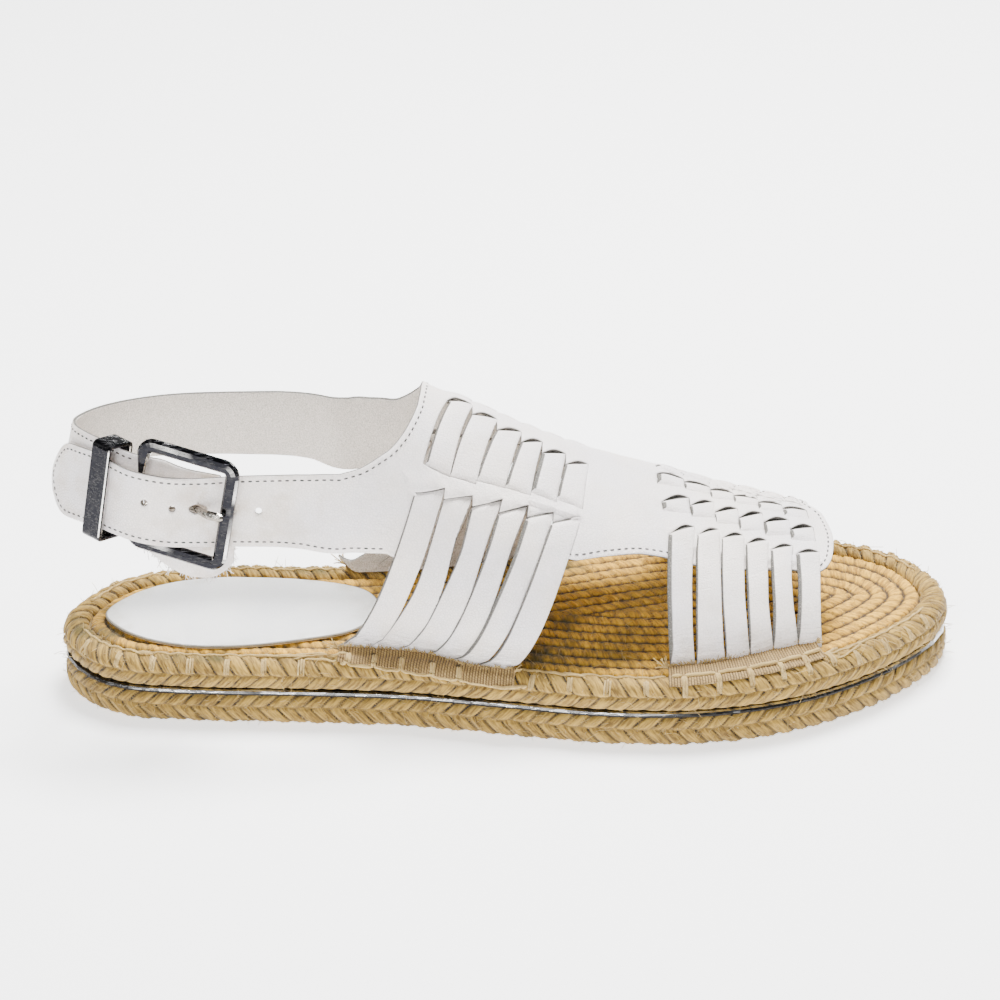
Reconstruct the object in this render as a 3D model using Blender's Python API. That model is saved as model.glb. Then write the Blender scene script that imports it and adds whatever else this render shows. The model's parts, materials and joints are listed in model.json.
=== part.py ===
"""Platform espadrille sandal, right shoe, in true size.

The toe points to +X, the outer side of the foot is -Y and up is +Z.  The
origin lies on the floor under the middle of the sole.  Sizes in the tables
are millimetres; MM turns them into Blender's metres.
"""
import math

import bmesh
import bpy
from mathutils import Matrix, Vector

MM = 0.001

# ---- driving dimensions, mm -------------------------------------------------
FIT_GAP = 0.3            # air left between touching pieces
LEATHER = 1.6            # wall of the upper and its straps
SOLE_RECESS = 1.5        # ceiling of the lower layer over the rubber
LOWER_JUTE_TO = 10.3
PIPING_HEIGHT = 11.0
PIPING_RADIUS = 0.95
UPPER_JUTE_FROM = 11.6
TRAY_FLOOR = 17.2        # top of the upper jute layer under the footbed
RIM_TOP = 21.4           # top of the plaited rim round the footbed
FOOTBED_TOP = 20.3
SOCK_TOP = 21.8
UPPER_FOOT = 21.9        # where the upper's walls end, just over the rim
OUTLINE_POINTS = 84
ROWS_LOW = 4             # mesh rows from the sole to the vamp's edge
ROWS_HIGH = 6            # mesh rows from the vamp's edge to the ridge

# The sole seen from above, heel first and round by the outer side.
SOLE_OUTLINE = [
    # x, y
    (-136.0, 0.0), (-129.5, -16.0), (-115.0, -26.5), (-90.0, -30.5),
    (-60.0, -32.5), (-30.0, -35.5), (0.0, -41.5), (29.0, -47.3),
    (57.0, -48.6), (82.0, -43.8), (102.0, -34.6), (120.0, -21.0),
    (132.5, -6.0), (136.0, 8.0), (130.5, 23.5), (118.5, 35.5),
    (98.0, 44.0), (78.0, 48.0), (53.0, 48.6), (28.0, 43.4),
    (-1.0, 35.6), (-31.0, 31.8), (-60.0, 31.6), (-90.0, 33.3),
    (-114.0, 28.9), (-128.5, 17.6)]

# Profiles of the stacked soles, from the bottom up: how far a point lies
# inside the outline, and its height.
OUTSOLE_PROFILE = [(4.6, 0.0), (4.4, 0.3), (4.4, 1.2)]
LOWER_JUTE_PROFILE = [
    (4.1, SOLE_RECESS), (4.0, 0.5), (2.6, 0.3), (1.1, 0.8), (0.2, 2.2),
    (0.0, 4.0), (0.0, 7.4), (0.6, 9.1), (2.0, LOWER_JUTE_TO)]
UPPER_JUTE_PROFILE = [
    (2.4, UPPER_JUTE_FROM), (0.8, 12.6), (0.1, 14.2),
    (0.0, 16.0), (0.3, 18.2), (1.3, 20.2), (3.1, 21.2), (5.3, RIM_TOP),
    (7.2, 20.6), (7.8, 19.2), (7.8, TRAY_FLOOR)]
FOOTBED_PROFILE = [
    (8.1, TRAY_FLOOR + FIT_GAP), (8.1, 19.6), (9.0, FOOTBED_TOP)]

# The heel sock lies on the footbed: half outlines from its back end.
SOCK_OUTLINE = [
    (-123.0, 1.0), (-117.0, -9.0), (-106.0, -16.5), (-92.0, -20.5),
    (-76.0, -20.3), (-61.0, -17.5), (-48.0, -13.5), (-41.0, -7.0),
    (-38.5, 1.5), (-41.0, 10.0), (-48.0, 15.5), (-61.0, 19.5),
    (-76.0, 21.8), (-92.0, 22.3), (-106.0, 19.0), (-117.0, 11.5)]

# Upright sections through the foot shape that the leather lies on.
FOOT_SECTIONS = [
    # x, ridge y, ridge z, outer foot y, inner foot y, bulge, fullness
    (-50, 1.0, 128.0, -25.0, 23.0, 4.2, 2.80),
    (-40, 1.2, 115.0, -26.0, 23.3, 3.6, 2.60),
    (-30, 1.5, 103.0, -27.5, 24.0, 2.6, 2.40),
    (-22, 2.0, 95.7, -29.5, 24.8, 1.8, 2.20),
    (-10, 3.0, 89.5, -34.5, 27.0, 1.0, 2.10),
    (5, 4.5, 80.5, -38.5, 30.5, 0.5, 2.10),
    (20, 6.0, 72.6, -40.0, 33.5, 0.0, 2.10),
    (35, 7.5, 66.0, -40.0, 36.5, 0.0, 2.20),
    (50, 9.0, 60.3, -39.0, 38.5, 0.0, 2.20),
    (65, 10.0, 54.2, -37.2, 38.5, 0.0, 2.25),
    (80, 10.5, 49.2, -32.5, 37.0, 0.0, 2.30),
    (92, 11.0, 46.3, -29.3, 34.5, 0.0, 2.35),
    (104, 11.0, 44.0, -27.0, 31.0, 0.0, 2.40)]

# Ribs of the upper: where each meets the sole and the ridge, the angle on
# the foot shape of the vamp's outer and inner edge there, and whether the
# woven band reaches the sole on this rib.
RIBS = [
    # sole x, ridge x, outer edge, inner edge, band
    (-49.0, -15.5, 20, 160, True),
    (-41.3, -8.3, 24, 156, True),
    (-32.9, -1.2, 28, 152, True),
    (-24.3, 5.8, 31, 149, True),
    (-16.2, 12.3, 35, 145, True),
    (-8.0, 19.2, 38, 142, True),
    (1.0, 27.5, 41, 139, True),
    (18.0, 33.5, 43, 137, False),
    (34.0, 40.0, 45, 136, False),
    (49.5, 47.0, 46, 133, True),
    (56.9, 55.0, 46, 129, True),
    (65.8, 63.0, 47, 125, True),
    (73.0, 70.4, 48, 121, True),
    (80.0, 78.0, 49, 117, True),
    (87.5, 85.4, 50, 113, True),
    (94.5, 93.0, 51, 110, True)]
RIB_SWEEP = (0.60, 0.38) # curl of the lower end, first rib and seventh
RIB_RISE = 0.85
TONGUE_REACH = 5.0       # the vamp's rounded end past the last rib
TONGUE_MIDDLE = 78.0     # angle on the foot shape where it reaches furthest
TONGUE_HALF = 29.0

# The collar fans out from the first rib into the two ankle straps.
COLLAR_FAN = [
    # collar x, collar angle, lower x, lower angle, swell towards the toe
    (-19.0, 90, -32.4, 19.2, 2.0), (-22.7, 90, -33.8, 18.4, 3.4),
    (-24.2, 73, -35.2, 17.6, 1.6), (-27.0, 60, -36.7, 16.8, 0.6),
    (-30.7, 50, -38.5, 16.0, 0.0), (-34.8, 43, -40.7, 15.2, 0.0),
    (-40.1, 36, -43.3, 14.2, 0.0), (-46.2, 30, -46.6, 13.3, 0.0)]

# Middle lines of the two straps past the collar, each with its half width
# and the lean of its upper edge towards the leg, in degrees.
OUTER_STRAP = [
    # x, y, middle z, half width, lean
    (-62.0, -28.6, 71.2, 11.8, 4), (-76.0, -28.9, 71.6, 11.4, 4),
    (-88.0, -29.3, 71.6, 11.1, 4), (-98.0, -29.9, 72.4, 11.1, 4),
    (-106.5, -29.0, 73.9, 11.1, 5), (-112.5, -25.3, 74.5, 11.2, 7),
    (-118.5, -19.3, 74.6, 11.3, 11), (-124.3, -14.8, 74.4, 11.3, 13),
    (-129.6, -9.2, 73.6, 10.6, 15), (-132.6, -4.6, 72.6, 6.4, 15),
    (-134.2, -0.8, 71.6, 1.4, 15)]
INNER_STRAP = [
    (-62.0, 28.6, 71.4, 11.8, 4), (-80.0, 29.2, 72.0, 11.4, 5),
    (-98.0, 27.2, 73.0, 11.4, 8), (-112.0, 22.0, 74.4, 11.4, 12),
    (-123.0, 13.6, 76.0, 11.4, 15), (-129.0, 3.6, 77.2, 11.4, 16),
    (-128.4, -5.2, 78.0, 11.4, 15), (-122.8, -12.6, 78.2, 11.4, 13),
    (-117.0, -16.9, 77.8, 11.4, 11), (-111.0, -20.8, 76.8, 11.4, 7),
    (-107.0, -21.9, 75.6, 12.2, 5), (-102.6, -22.2, 70.6, 15.4, 4),
    (-95.0, -23.9, 67.4, 16.6, 4), (-87.0, -24.4, 64.6, 17.0, 4),
    (-80.6, -24.4, 63.2, 14.2, 4), (-77.8, -24.4, 62.8, 9.4, 4)]

# Tapes that hold the strips to the rim.  Their inner edge stands against
# the strips; their outer edge is measured over the rim's curve from its top.
TAPES = [
    # name, from x, to x, side, inner edge's height there and there,
    # outer edge's distance over the rim there and there
    ("rand_tape_outer_instep", -50.0, 3.0, -1, 23.9, 22.2, 3.0, 7.4),
    ("rand_tape_outer_toe", 48.5, 97.0, -1, 22.6, 24.2, 4.4, 2.0),
    ("rand_tape_inner_instep", -50.0, 3.0, 1, 23.6, 22.4, 3.6, 6.0),
    ("rand_tape_inner_toe", 48.5, 97.0, 1, 22.8, 24.0, 4.2, 2.4)]
TAPE_THICKNESS = 0.9

# Buckle: a flat frame whose rear bar is thin and lies between the straps,
# the prong that turns on it, and the keeper round both straps.
BUCKLE_MIDDLE = (-92.5, -28.9, 74.2)
BUCKLE_TURN = 11.0       # its front end hangs lower, degrees
BUCKLE_SKEW = 15.5       # its front end stands further out, degrees
BUCKLE_LEAN = 4.0        # its upper bar is nearer the leg, degrees
FRAME_LENGTH = 27.6      # between the middles of the end bars
FRAME_HEIGHT = 31.8      # between the middles of the long bars
FRAME_CORNER = 2.9
BAR_HALF_WIDTH = 2.1
BAR_HALF_DEPTH = 1.4
PIVOT_RADIUS = 1.0
PRONG_HOLE_FIT = 0.35
PRONG_TURN = 0.0         # the prong is level, degrees
PRONG_DROP = 4.0         # its eye lies below the middle of the rear bar
PRONG_PATH = [
    # distance in front of the rear bar, distance out from it, half width,
    # half depth; the first rows are the eye round the rear bar
    (1.0, -1.7, 1.3, 0.5), (-0.4, -1.95, 1.3, 0.5), (-1.6, -1.1, 1.3, 0.5),
    (-1.9, 0.2, 1.3, 0.5), (-1.4, 1.5, 1.3, 0.5), (0.0, 2.0, 1.2, 0.5),
    (3.0, 1.7, 1.1, 0.7), (8.0, -0.6, 1.05, 1.0), (14.0, -1.9, 1.05, 1.0),
    (17.6, -1.6, 1.1, 1.0), (20.6, 0.7, 1.3, 1.1), (23.4, 2.55, 1.45, 1.15),
    (26.4, 3.3, 1.45, 1.1), (28.0, 3.2, 0.9, 0.8)]
STRAP_HOLES = [
    # x, z of the holes still open in the outer strap
    (-103.8, 75.4), (-95.8, 73.4), (-78.2, 71.6), (-70.2, 71.7)]
STRAP_HOLE_RADIUS = 1.0
SLOT_AROUND_EYE = (7.0, 3.6)   # in the inner strap, long and high
KEEPER_MIDDLE = (-115.4, -20.1, 75.6)
KEEPER_HEADING = 38.0    # direction of the straps there, in plan, degrees
KEEPER_LEAN = 11.0
KEEPER_TURN = 5.0
KEEPER_WIDTH = 7.0
KEEPER_OPENING = (28.2, 7.8)
KEEPER_WALL = 1.2


# ---- helpers ----------------------------------------------------------------
def clear_scene():
    for item in list(bpy.data.objects):
        bpy.data.objects.remove(item, do_unlink=True)


def material(name, colour, roughness, metallic=0.0):
    made = bpy.data.materials.new(name)
    made.use_nodes = True
    shader = made.node_tree.nodes["Principled BSDF"]
    shader.inputs["Base Color"].default_value = (*colour, 1.0)
    shader.inputs["Roughness"].default_value = roughness
    shader.inputs["Metallic"].default_value = metallic
    made.diffuse_color = (*colour, 1.0)
    return made


def add_object(name, points, faces, finish):
    """A named object from points in millimetres and faces of indices."""
    mesh = bpy.data.meshes.new(name)
    mesh.from_pydata([Vector(p) * MM for p in points], [], faces)
    mesh.validate()
    work = bmesh.new()
    work.from_mesh(mesh)
    bmesh.ops.remove_doubles(work, verts=work.verts, dist=1e-5)
    bmesh.ops.recalc_face_normals(work, faces=work.faces)
    work.to_mesh(mesh)
    work.free()
    mesh.shade_smooth()
    mesh.set_sharp_from_angle(angle=math.radians(40))
    made = bpy.data.objects.new(name, mesh)
    made.data.materials.append(finish)
    bpy.context.scene.collection.objects.link(made)
    return made


def spline(before, start, end, after, t):
    """Catmull-Rom value between start and end."""
    return 0.5 * (2 * start + (end - before) * t
                  + (2 * before - 5 * start + 4 * end - after) * t * t
                  + (3 * start - before - 3 * end + after) * t ** 3)


def smooth_rows(rows, steps, closed=False):
    """More rows between those of a table, on smooth curves through them."""
    count = len(rows)
    made = []
    for i in range(count if closed else count - 1):
        if closed:
            near = [rows[(i + k) % count] for k in (-1, 0, 1, 2)]
        else:
            near = [rows[min(max(i + k, 0), count - 1)] for k in (-1, 0, 1, 2)]
        for s in range(steps):
            made.append(tuple(spline(*four, s / steps) for four in zip(*near)))
    if not closed:
        made.append(tuple(float(v) for v in rows[-1]))
    return made


def even_loop(points, count):
    """A closed loop resampled to evenly spaced points."""
    ends = points[1:] + points[:1]
    lengths = [math.dist(a, b) for a, b in zip(points, ends)]
    step = sum(lengths) / count
    made, walked, i = [], 0.0, 0
    for n in range(count):
        while walked + lengths[i] < n * step:
            walked += lengths[i]
            i += 1
        t = (n * step - walked) / lengths[i]
        made.append(tuple(a + (b - a) * t for a, b in zip(points[i], ends[i])))
    return made


def inset_loop(loop, distance):
    """The loop moved inwards; it runs anticlockwise seen from above."""
    made = []
    for i, (x, y) in enumerate(loop):
        ahead, behind = loop[(i + 1) % len(loop)], loop[i - 1]
        dx, dy = ahead[0] - behind[0], ahead[1] - behind[1]
        size = math.hypot(dx, dy)
        made.append((x - dy / size * distance, y + dx / size * distance))
    return made


def stacked_solid(name, rings, finish):
    """A closed solid from equal rings of 3-D points, bottom ring first."""
    count = len(rings[0])
    points = [p for ring in rings for p in ring]
    faces = [list(range(count))[::-1]]
    for r in range(len(rings) - 1):
        for i in range(count):
            j = (i + 1) % count
            low, high = r * count, (r + 1) * count
            faces.append([low + i, low + j, high + j, high + i])
    top = (len(rings) - 1) * count
    faces.append([top + i for i in range(count)])
    return add_object(name, points, faces, finish)


def swept_ring(name, sections, finish, closed=True):
    """A solid from equal closed cross sections set along a path."""
    size = len(sections[0])
    points = [p for section in sections for p in section]
    faces = []
    for s in range(len(sections) if closed else len(sections) - 1):
        here, there = s * size, (s + 1) % len(sections) * size
        for i in range(size):
            j = (i + 1) % size
            faces.append([here + i, here + j, there + j, there + i])
    if not closed:
        faces.append(list(range(size))[::-1])
        last = (len(sections) - 1) * size
        faces.append([last + i for i in range(size)])
    return add_object(name, points, faces, finish)


def table_value(rows, x, column):
    """A column of a table at x, on monotone smooth steps between rows."""
    if x <= rows[0][0]:
        return rows[0][column]
    for i in range(len(rows) - 1):
        if x <= rows[i + 1][0]:
            near = [rows[min(max(i + k, 0), len(rows) - 1)] for k in (-1, 0, 1, 2)]
            t = (x - near[1][0]) / (near[2][0] - near[1][0])
            span = near[2][0] - near[1][0]
            slopes = []
            for a, b in ((0, 2), (1, 3)):
                run = near[b][0] - near[a][0]
                slopes.append((near[b][column] - near[a][column]) / run * span)
            y0, y1 = near[1][column], near[2][column]
            return ((2 * t ** 3 - 3 * t * t + 1) * y0 + (3 * t * t - 2 * t ** 3) * y1
                    + (t ** 3 - 2 * t * t + t) * slopes[0]
                    + (t ** 3 - t * t) * slopes[1])
    return rows[-1][column]


# ---- soles ------------------------------------------------------------------
def sole_outline():
    return even_loop(smooth_rows(SOLE_OUTLINE, 8, closed=True), OUTLINE_POINTS)


def layer(name, outline, profile, finish):
    rings = []
    for inset, height in profile:
        rings.append([(x, y, height) for x, y in inset_loop(outline, inset)])
    return stacked_solid(name, rings, finish)


def piping(outline, finish):
    """Bright bead between the jute layers, on a thin flange held by them."""
    flange = 0.3
    section = [(6.0, -flange), (1.9, -flange)]
    for k in range(5):
        turn = math.radians(-90 - k * 45)
        section.append((1.0 + PIPING_RADIUS * math.cos(turn),
                        PIPING_RADIUS * math.sin(turn)))
    section += [(1.9, flange), (6.0, flange)]
    loops = [inset_loop(outline, inset) for inset, height in section]
    sections = []
    for i in range(len(outline)):
        sections.append([(*loop[i], PIPING_HEIGHT + height)
                         for loop, (inset, height) in zip(loops, section)])
    return swept_ring("rand_piping", sections, finish)


def sock(finish):
    outline = even_loop(smooth_rows(SOCK_OUTLINE, 6, closed=True), 48)
    rings = []
    low = FOOTBED_TOP + FIT_GAP
    for inset, height in ((0.0, low), (0.0, SOCK_TOP - 0.4), (0.6, SOCK_TOP)):
        rings.append([(x, y, height) for x, y in inset_loop(outline, inset)])
    return stacked_solid("heel_sock", rings, finish)


def over_rim(distance):
    """Inset and height at a distance outwards over the rim from its top."""
    curve = UPPER_JUTE_PROFILE[7:2:-1]
    for (i0, z0), (i1, z1) in zip(curve, curve[1:]):
        step = math.hypot(i1 - i0, z1 - z0)
        if distance <= step:
            t = distance / step
            return i0 + (i1 - i0) * t, z0 + (z1 - z0) * t
        distance -= step
    return curve[-1]


def rim_stations(start, stop, side, outline, count):
    """Places along one side of the outline, evenly spaced in x."""
    made = []
    for k in range(count + 1):
        x = start + (stop - start) * k / count
        for i in range(len(outline)):
            a, b = outline[i], outline[(i + 1) % len(outline)]
            if a[1] * side > 0 and (a[0] - x) * (b[0] - x) <= 0 and a[0] != b[0]:
                made.append((k / count, i, (x - a[0]) / (b[0] - a[0])))
                break
    return made


def across_rim(loops, distance, i, t, outline):
    """Plan point at a distance inside the outline, between its corners."""
    if distance not in loops:
        loops[distance] = inset_loop(outline, distance)
    a, b = loops[distance][i], loops[distance][(i + 1) % len(outline)]
    return a[0] + (b[0] - a[0]) * t, a[1] + (b[1] - a[1]) * t


def tape_line(x, y, inward_y, side, high, reach):
    """Under side of a tape: inset and height, from the strips outwards."""
    wall_y = foot_point(x, 0 if side < 0 else 180)[1]
    inner = abs(y - wall_y) * inward_y - LEATHER / 2 - 0.5
    line = [(inner, high), (min(inner, 5.6) - 0.1, RIM_TOP + 0.8)]
    begin = max(0.6, 5.3 - line[1][0] + 0.8)
    for k in range(5):
        at = begin + (reach - begin) * k / 4
        before, after = over_rim(at - 0.2), over_rim(at + 0.2)
        run = math.dist(before, after)
        middle = over_rim(at)
        out = ((after[1] - before[1]) / run, (before[0] - after[0]) / run)
        line.append((middle[0] + out[0] * 0.5, middle[1] + out[1] * 0.5))
    return line


def tape(name, start, stop, side, high_a, high_b, over_a, over_b, outline,
         finish):
    """A woven tape laid from the feet of the strips over the rim."""
    sections, loops = [], {}
    for share, i, t in rim_stations(start, stop, side, outline, 12):
        x, y = across_rim(loops, 0.0, i, t, outline)
        inward_y = abs(across_rim(loops, 1.0, i, t, outline)[1] - y)
        line = tape_line(x, y, inward_y, side, high_a + (high_b - high_a) * share,
                         over_a + (over_b - over_a) * share)
        over = []
        for k, (d, z) in enumerate(line):
            before, after = line[max(k - 1, 0)], line[min(k + 1, len(line) - 1)]
            run = math.dist(before, after)
            over.append((d + (after[1] - before[1]) / run * TAPE_THICKNESS,
                         z + (before[0] - after[0]) / run * TAPE_THICKNESS))
        sections.append([(*across_rim(loops, d, i, t, outline), z)
                         for d, z in line + over[::-1]])
    return swept_ring(name, sections, finish, closed=False)


# ---- upper ------------------------------------------------------------------
def foot_point(x, angle):
    """A point of the foot shape: angle 0 outer sole, 90 ridge, 180 inner."""
    ridge_y, ridge_z, outer, inner, bulge, full = [
        table_value(FOOT_SECTIONS, x, c) for c in range(1, 7)]
    turn = math.radians(angle)
    side = outer if angle <= 90 else inner
    across = abs(math.cos(turn)) ** (2 / full)
    rise = min(abs(math.sin(turn)) ** (2 / full), 1.0)
    swell = math.copysign(bulge * math.sin(math.pi * rise), side)
    return (x, ridge_y + (side - ridge_y) * across + swell,
            UPPER_FOOT + (ridge_z - UPPER_FOOT) * rise)


def rib_x(sole_x, ridge_x, angle):
    """Where along the shoe a leaning rib is at an angle on the foot shape."""
    rise = abs(math.sin(math.radians(angle))) ** RIB_RISE
    curl = math.sqrt(rise) * (1 - rise) ** 2
    share = min(max((sole_x + 49.0) / 50.0, 0.0), 1.0)
    curl *= RIB_SWEEP[0] + (RIB_SWEEP[1] - RIB_SWEEP[0]) * share
    if ridge_x <= sole_x:
        curl = 0.0
    return sole_x + (ridge_x - sole_x) * (rise + curl)


def rib_angles(outer_edge, inner_edge, band):
    """Angles of a rib's rows by side and row; row 0 is on the sole."""
    rows = {}
    for side, start, edge in ((-1, 0, outer_edge), (1, 180, inner_edge)):
        for k in range(0 if band else ROWS_LOW, ROWS_LOW + 1):
            rows[side, k] = start + (edge - start) * k / ROWS_LOW
        for k in range(1, ROWS_HIGH + 1):
            rows[side, ROWS_LOW + k] = edge + (90 - edge) * k / ROWS_HIGH
    return rows


def vamp_columns():
    """Points of each rib by side and row, then the tongue's end."""
    columns = []
    for sole_x, ridge_x, outer, inner, band in smooth_ribs():
        rows = rib_angles(outer, inner, band)
        columns.append({k: foot_point(rib_x(sole_x, ridge_x, a), a)
                        for k, a in rows.items()})
    sole_x, ridge_x, outer, inner, band = RIBS[-1]
    end = {}
    for k, a in rib_angles(outer, inner, False).items():
        off = min(abs(a - TONGUE_MIDDLE) / TONGUE_HALF, 1.0)
        reach = 0.4 + TONGUE_REACH * (1 - off ** 3)
        end[k] = foot_point(rib_x(sole_x, ridge_x, a) + reach, a)
    columns.append(end)
    return columns


def smooth_ribs():
    """The ribs of the table with one more between each two."""
    made = []
    for a, b in zip(RIBS, RIBS[1:]):
        made.append(a)
        middle = [(p + q) / 2 for p, q in zip(a[:4], b[:4])]
        made.append((*middle, a[4] and b[4]))
    made.append(RIBS[-1])
    return made


def add_strip(points, faces, lines):
    """Join equal lines of points side by side with quads."""
    for line_a, line_b in zip(lines, lines[1:]):
        for i in range(len(line_a) - 1):
            start = len(points)
            points += [line_a[i], line_a[i + 1], line_b[i + 1], line_b[i]]
            faces.append([start, start + 1, start + 2, start + 3])


def fan_lines(first_rib, side):
    """Lines of points across the collar, from the first rib to the strap."""
    lines = [[first_rib[side, ROWS_LOW + k] for k in range(ROWS_HIGH + 1)]]
    for top_x, top_angle, low_x, low_angle, swell in COLLAR_FAN:
        line = []
        for k in range(ROWS_HIGH + 1):
            share = k / ROWS_HIGH
            angle = low_angle + (top_angle - low_angle) * share
            x = low_x + (top_x - low_x) * math.sin(share * math.pi / 2)
            x += swell * 4 * share * share * (1 - share)
            line.append(foot_point(x, angle if side < 0 else 180 - angle))
        lines.append(line)
    return lines


def strap_lines(last_line, rows):
    """Cross lines of a strap that carries on from the collar's last line."""
    low, high = Vector(last_line[0]), Vector(last_line[-1])
    middle = (low + high) / 2
    rise = high - low
    side = -1 if middle.y < 0 else 1
    lean = math.degrees(math.atan2(-side * rise.y, rise.z))
    table = [(*middle, rise.length / 2, lean)] + rows
    made = []
    path = smooth_rows(table, 2)
    for i, (x, y, z, half, lean) in enumerate(path):
        ahead = path[min(i + 1, len(path) - 1)]
        behind = path[max(i - 1, 0)]
        along = Vector((ahead[0] - behind[0], ahead[1] - behind[1], 0)).normalized()
        inward = Vector((0, 0, 1)).cross(along) * side
        slope = (ahead[2] - behind[2]) / math.hypot(ahead[0] - behind[0],
                                                     ahead[1] - behind[1])
        up = (Vector((0, 0, 1)) - along * slope).normalized()
        tilt = math.radians(lean)
        across = up * math.cos(tilt) + inward * math.sin(tilt)
        line = []
        for k in range(ROWS_HIGH + 1):
            share = 2 * k / ROWS_HIGH - 1
            line.append(tuple(Vector((x, y, z)) + across * half * share))
        made.append(line)
    return [last_line] + made[1:]


def upper(finish):
    """Vamp, woven bands and both ankle straps as one sheet of leather."""
    points, faces = [], []
    columns = vamp_columns()
    for a, b in zip(columns, columns[1:]):
        for side in (-1, 1):
            shared = [k for k in range(ROWS_LOW + ROWS_HIGH + 1)
                      if (side, k) in a and (side, k) in b]
            add_strip(points, faces, [[a[side, k] for k in shared],
                                      [b[side, k] for k in shared]])
    for side, rows in ((-1, OUTER_STRAP), (1, INNER_STRAP)):
        fan = fan_lines(columns[0], side)
        add_strip(points, faces, fan)
        add_strip(points, faces, strap_lines(fan[-1], rows))
    sheet = add_object("upper", points, faces, finish)
    wall = sheet.modifiers.new("wall", "SOLIDIFY")
    wall.thickness = LEATHER * MM
    wall.offset = 0.0
    wall.use_even_offset = True
    return sheet


# ---- buckle -----------------------------------------------------------------
def directions(skew, turn, lean):
    """Along, up and outward directions of a piece on the outer side."""
    outward = Vector((-math.sin(math.radians(skew)),
                      -math.cos(math.radians(skew)), 0.0))
    along = Vector((-outward.y, outward.x, 0.0))
    up = Vector((0.0, 0.0, 1.0))
    tip = math.radians(lean)
    up, outward = (up * math.cos(tip) - outward * math.sin(tip),
                   outward * math.cos(tip) + up * math.sin(tip))
    swing = math.radians(turn)
    along, up = (along * math.cos(swing) - up * math.sin(swing),
                 up * math.cos(swing) + along * math.sin(swing))
    return along, up, outward


def rounded_rectangle(length, height, radius, corner_steps, side_steps):
    """Points and outward normals round a rectangle, anticlockwise."""
    made = []
    for quarter in range(4):
        a, b = ((length, height) if quarter % 2 == 0 else (height, length))
        base = Matrix.Rotation(math.pi / 2 * quarter, 2)
        centre = Vector((a / 2 - radius, b / 2 - radius))
        for k in range(side_steps):
            share = k / side_steps
            normal = base @ Vector((1, 0))
            made.append((base @ Vector((a / 2, centre.y * (2 * share - 1))),
                         normal))
        for k in range(corner_steps + 1):
            turn = math.pi / 2 * k / corner_steps
            normal = Vector((math.cos(turn), math.sin(turn)))
            made.append((base @ (centre + normal * radius), base @ normal))
    return made


def buckle_frame(finish):
    along, up, outward = directions(BUCKLE_SKEW, BUCKLE_TURN, BUCKLE_LEAN)
    middle = Vector(BUCKLE_MIDDLE)
    sections = []
    for spot, normal in rounded_rectangle(FRAME_LENGTH, FRAME_HEIGHT,
                                          FRAME_CORNER, 5, 4):
        at = middle + along * spot.x + up * spot.y
        side = along * normal.x + up * normal.y
        thin = 0.0
        if spot.x < 0:
            clear = FRAME_HEIGHT / 2 - FRAME_CORNER - 0.5 - abs(spot.y)
            thin = min(max(clear / 2.0, 0.0), 1.0)
        wide = BAR_HALF_WIDTH + (PIVOT_RADIUS - BAR_HALF_WIDTH) * thin
        deep = BAR_HALF_DEPTH + (PIVOT_RADIUS - BAR_HALF_DEPTH) * thin
        if abs(normal.y) > 0.9:
            wide, deep = BAR_HALF_WIDTH, BAR_HALF_DEPTH
        section = []
        for k in range(10):
            turn = math.tau * (k + 0.5) / 10
            square = max(abs(math.cos(turn)), abs(math.sin(turn))) ** -0.35
            section.append(at + side * wide * square * math.cos(turn)
                           + outward * deep * square * math.sin(turn))
        sections.append(section)
    return swept_ring("buckle_frame", sections, finish)


def prong_pivot():
    """Where the prong's eye sits on the rear bar."""
    along, up, outward = directions(BUCKLE_SKEW, BUCKLE_TURN, BUCKLE_LEAN)
    return (Vector(BUCKLE_MIDDLE) - along * FRAME_LENGTH / 2
            - up * PRONG_DROP)


def prong_sections(rows, extra, sides=8):
    """Cross sections along the prong's path, each grown by extra."""
    pivot = prong_pivot()
    along, up, outward = directions(BUCKLE_SKEW, PRONG_TURN, BUCKLE_LEAN)
    path = smooth_rows(rows, 2)
    made = []
    for i, (front, out, wide, deep) in enumerate(path):
        ahead = path[min(i + 1, len(path) - 1)]
        behind = path[max(i - 1, 0)]
        run = Vector((ahead[0] - behind[0], ahead[1] - behind[1])).normalized()
        rise = outward * run.x - along * run.y
        at = pivot + along * front + outward * out
        made.append([at + up * (wide + extra) * math.cos(math.tau * k / sides)
                     + rise * (deep + extra) * math.sin(math.tau * k / sides)
                     for k in range(sides)])
    return made


def keeper(finish):
    along, up, outward = directions(KEEPER_HEADING, KEEPER_TURN, KEEPER_LEAN)
    middle = Vector(KEEPER_MIDDLE)
    high, deep = (v + 2 * KEEPER_WALL for v in KEEPER_OPENING)
    half = KEEPER_WIDTH / 2
    section = [(-half + 0.3, 0.0), (half - 0.3, 0.0), (half, 0.3),
               (half, KEEPER_WALL - 0.3), (half - 0.3, KEEPER_WALL),
               (-half + 0.3, KEEPER_WALL), (-half, KEEPER_WALL - 0.3),
               (-half, 0.3)]
    sections = []
    for spot, normal in rounded_rectangle(high, deep, 1.7, 5, 3):
        at = middle + up * spot.x + outward * spot.y
        side = up * normal.x + outward * normal.y
        sections.append([at + along * a - side * b for a, b in section])
    return swept_ring("strap_keeper", sections, finish)


def cut(target, name, sections, closed=False):
    """Take a swept shape away from the target."""
    cutter = swept_ring(name, sections, target.active_material, closed)
    cutter.hide_render = True
    cutter.display_type = "WIRE"
    step = target.modifiers.new(name, "BOOLEAN")
    step.operation = "DIFFERENCE"
    step.solver = "EXACT"
    step.object = cutter


def hole_sections(x, y, z, radius_long, radius_high, reach, sides=12):
    """Two sections of a straight hole across the straps."""
    made = []
    for depth in (reach, -reach):
        made.append([(x + radius_long * math.cos(math.tau * k / sides), y - depth,
                      z + radius_high * math.sin(math.tau * k / sides))
                     for k in range(sides)])
    return made


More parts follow.
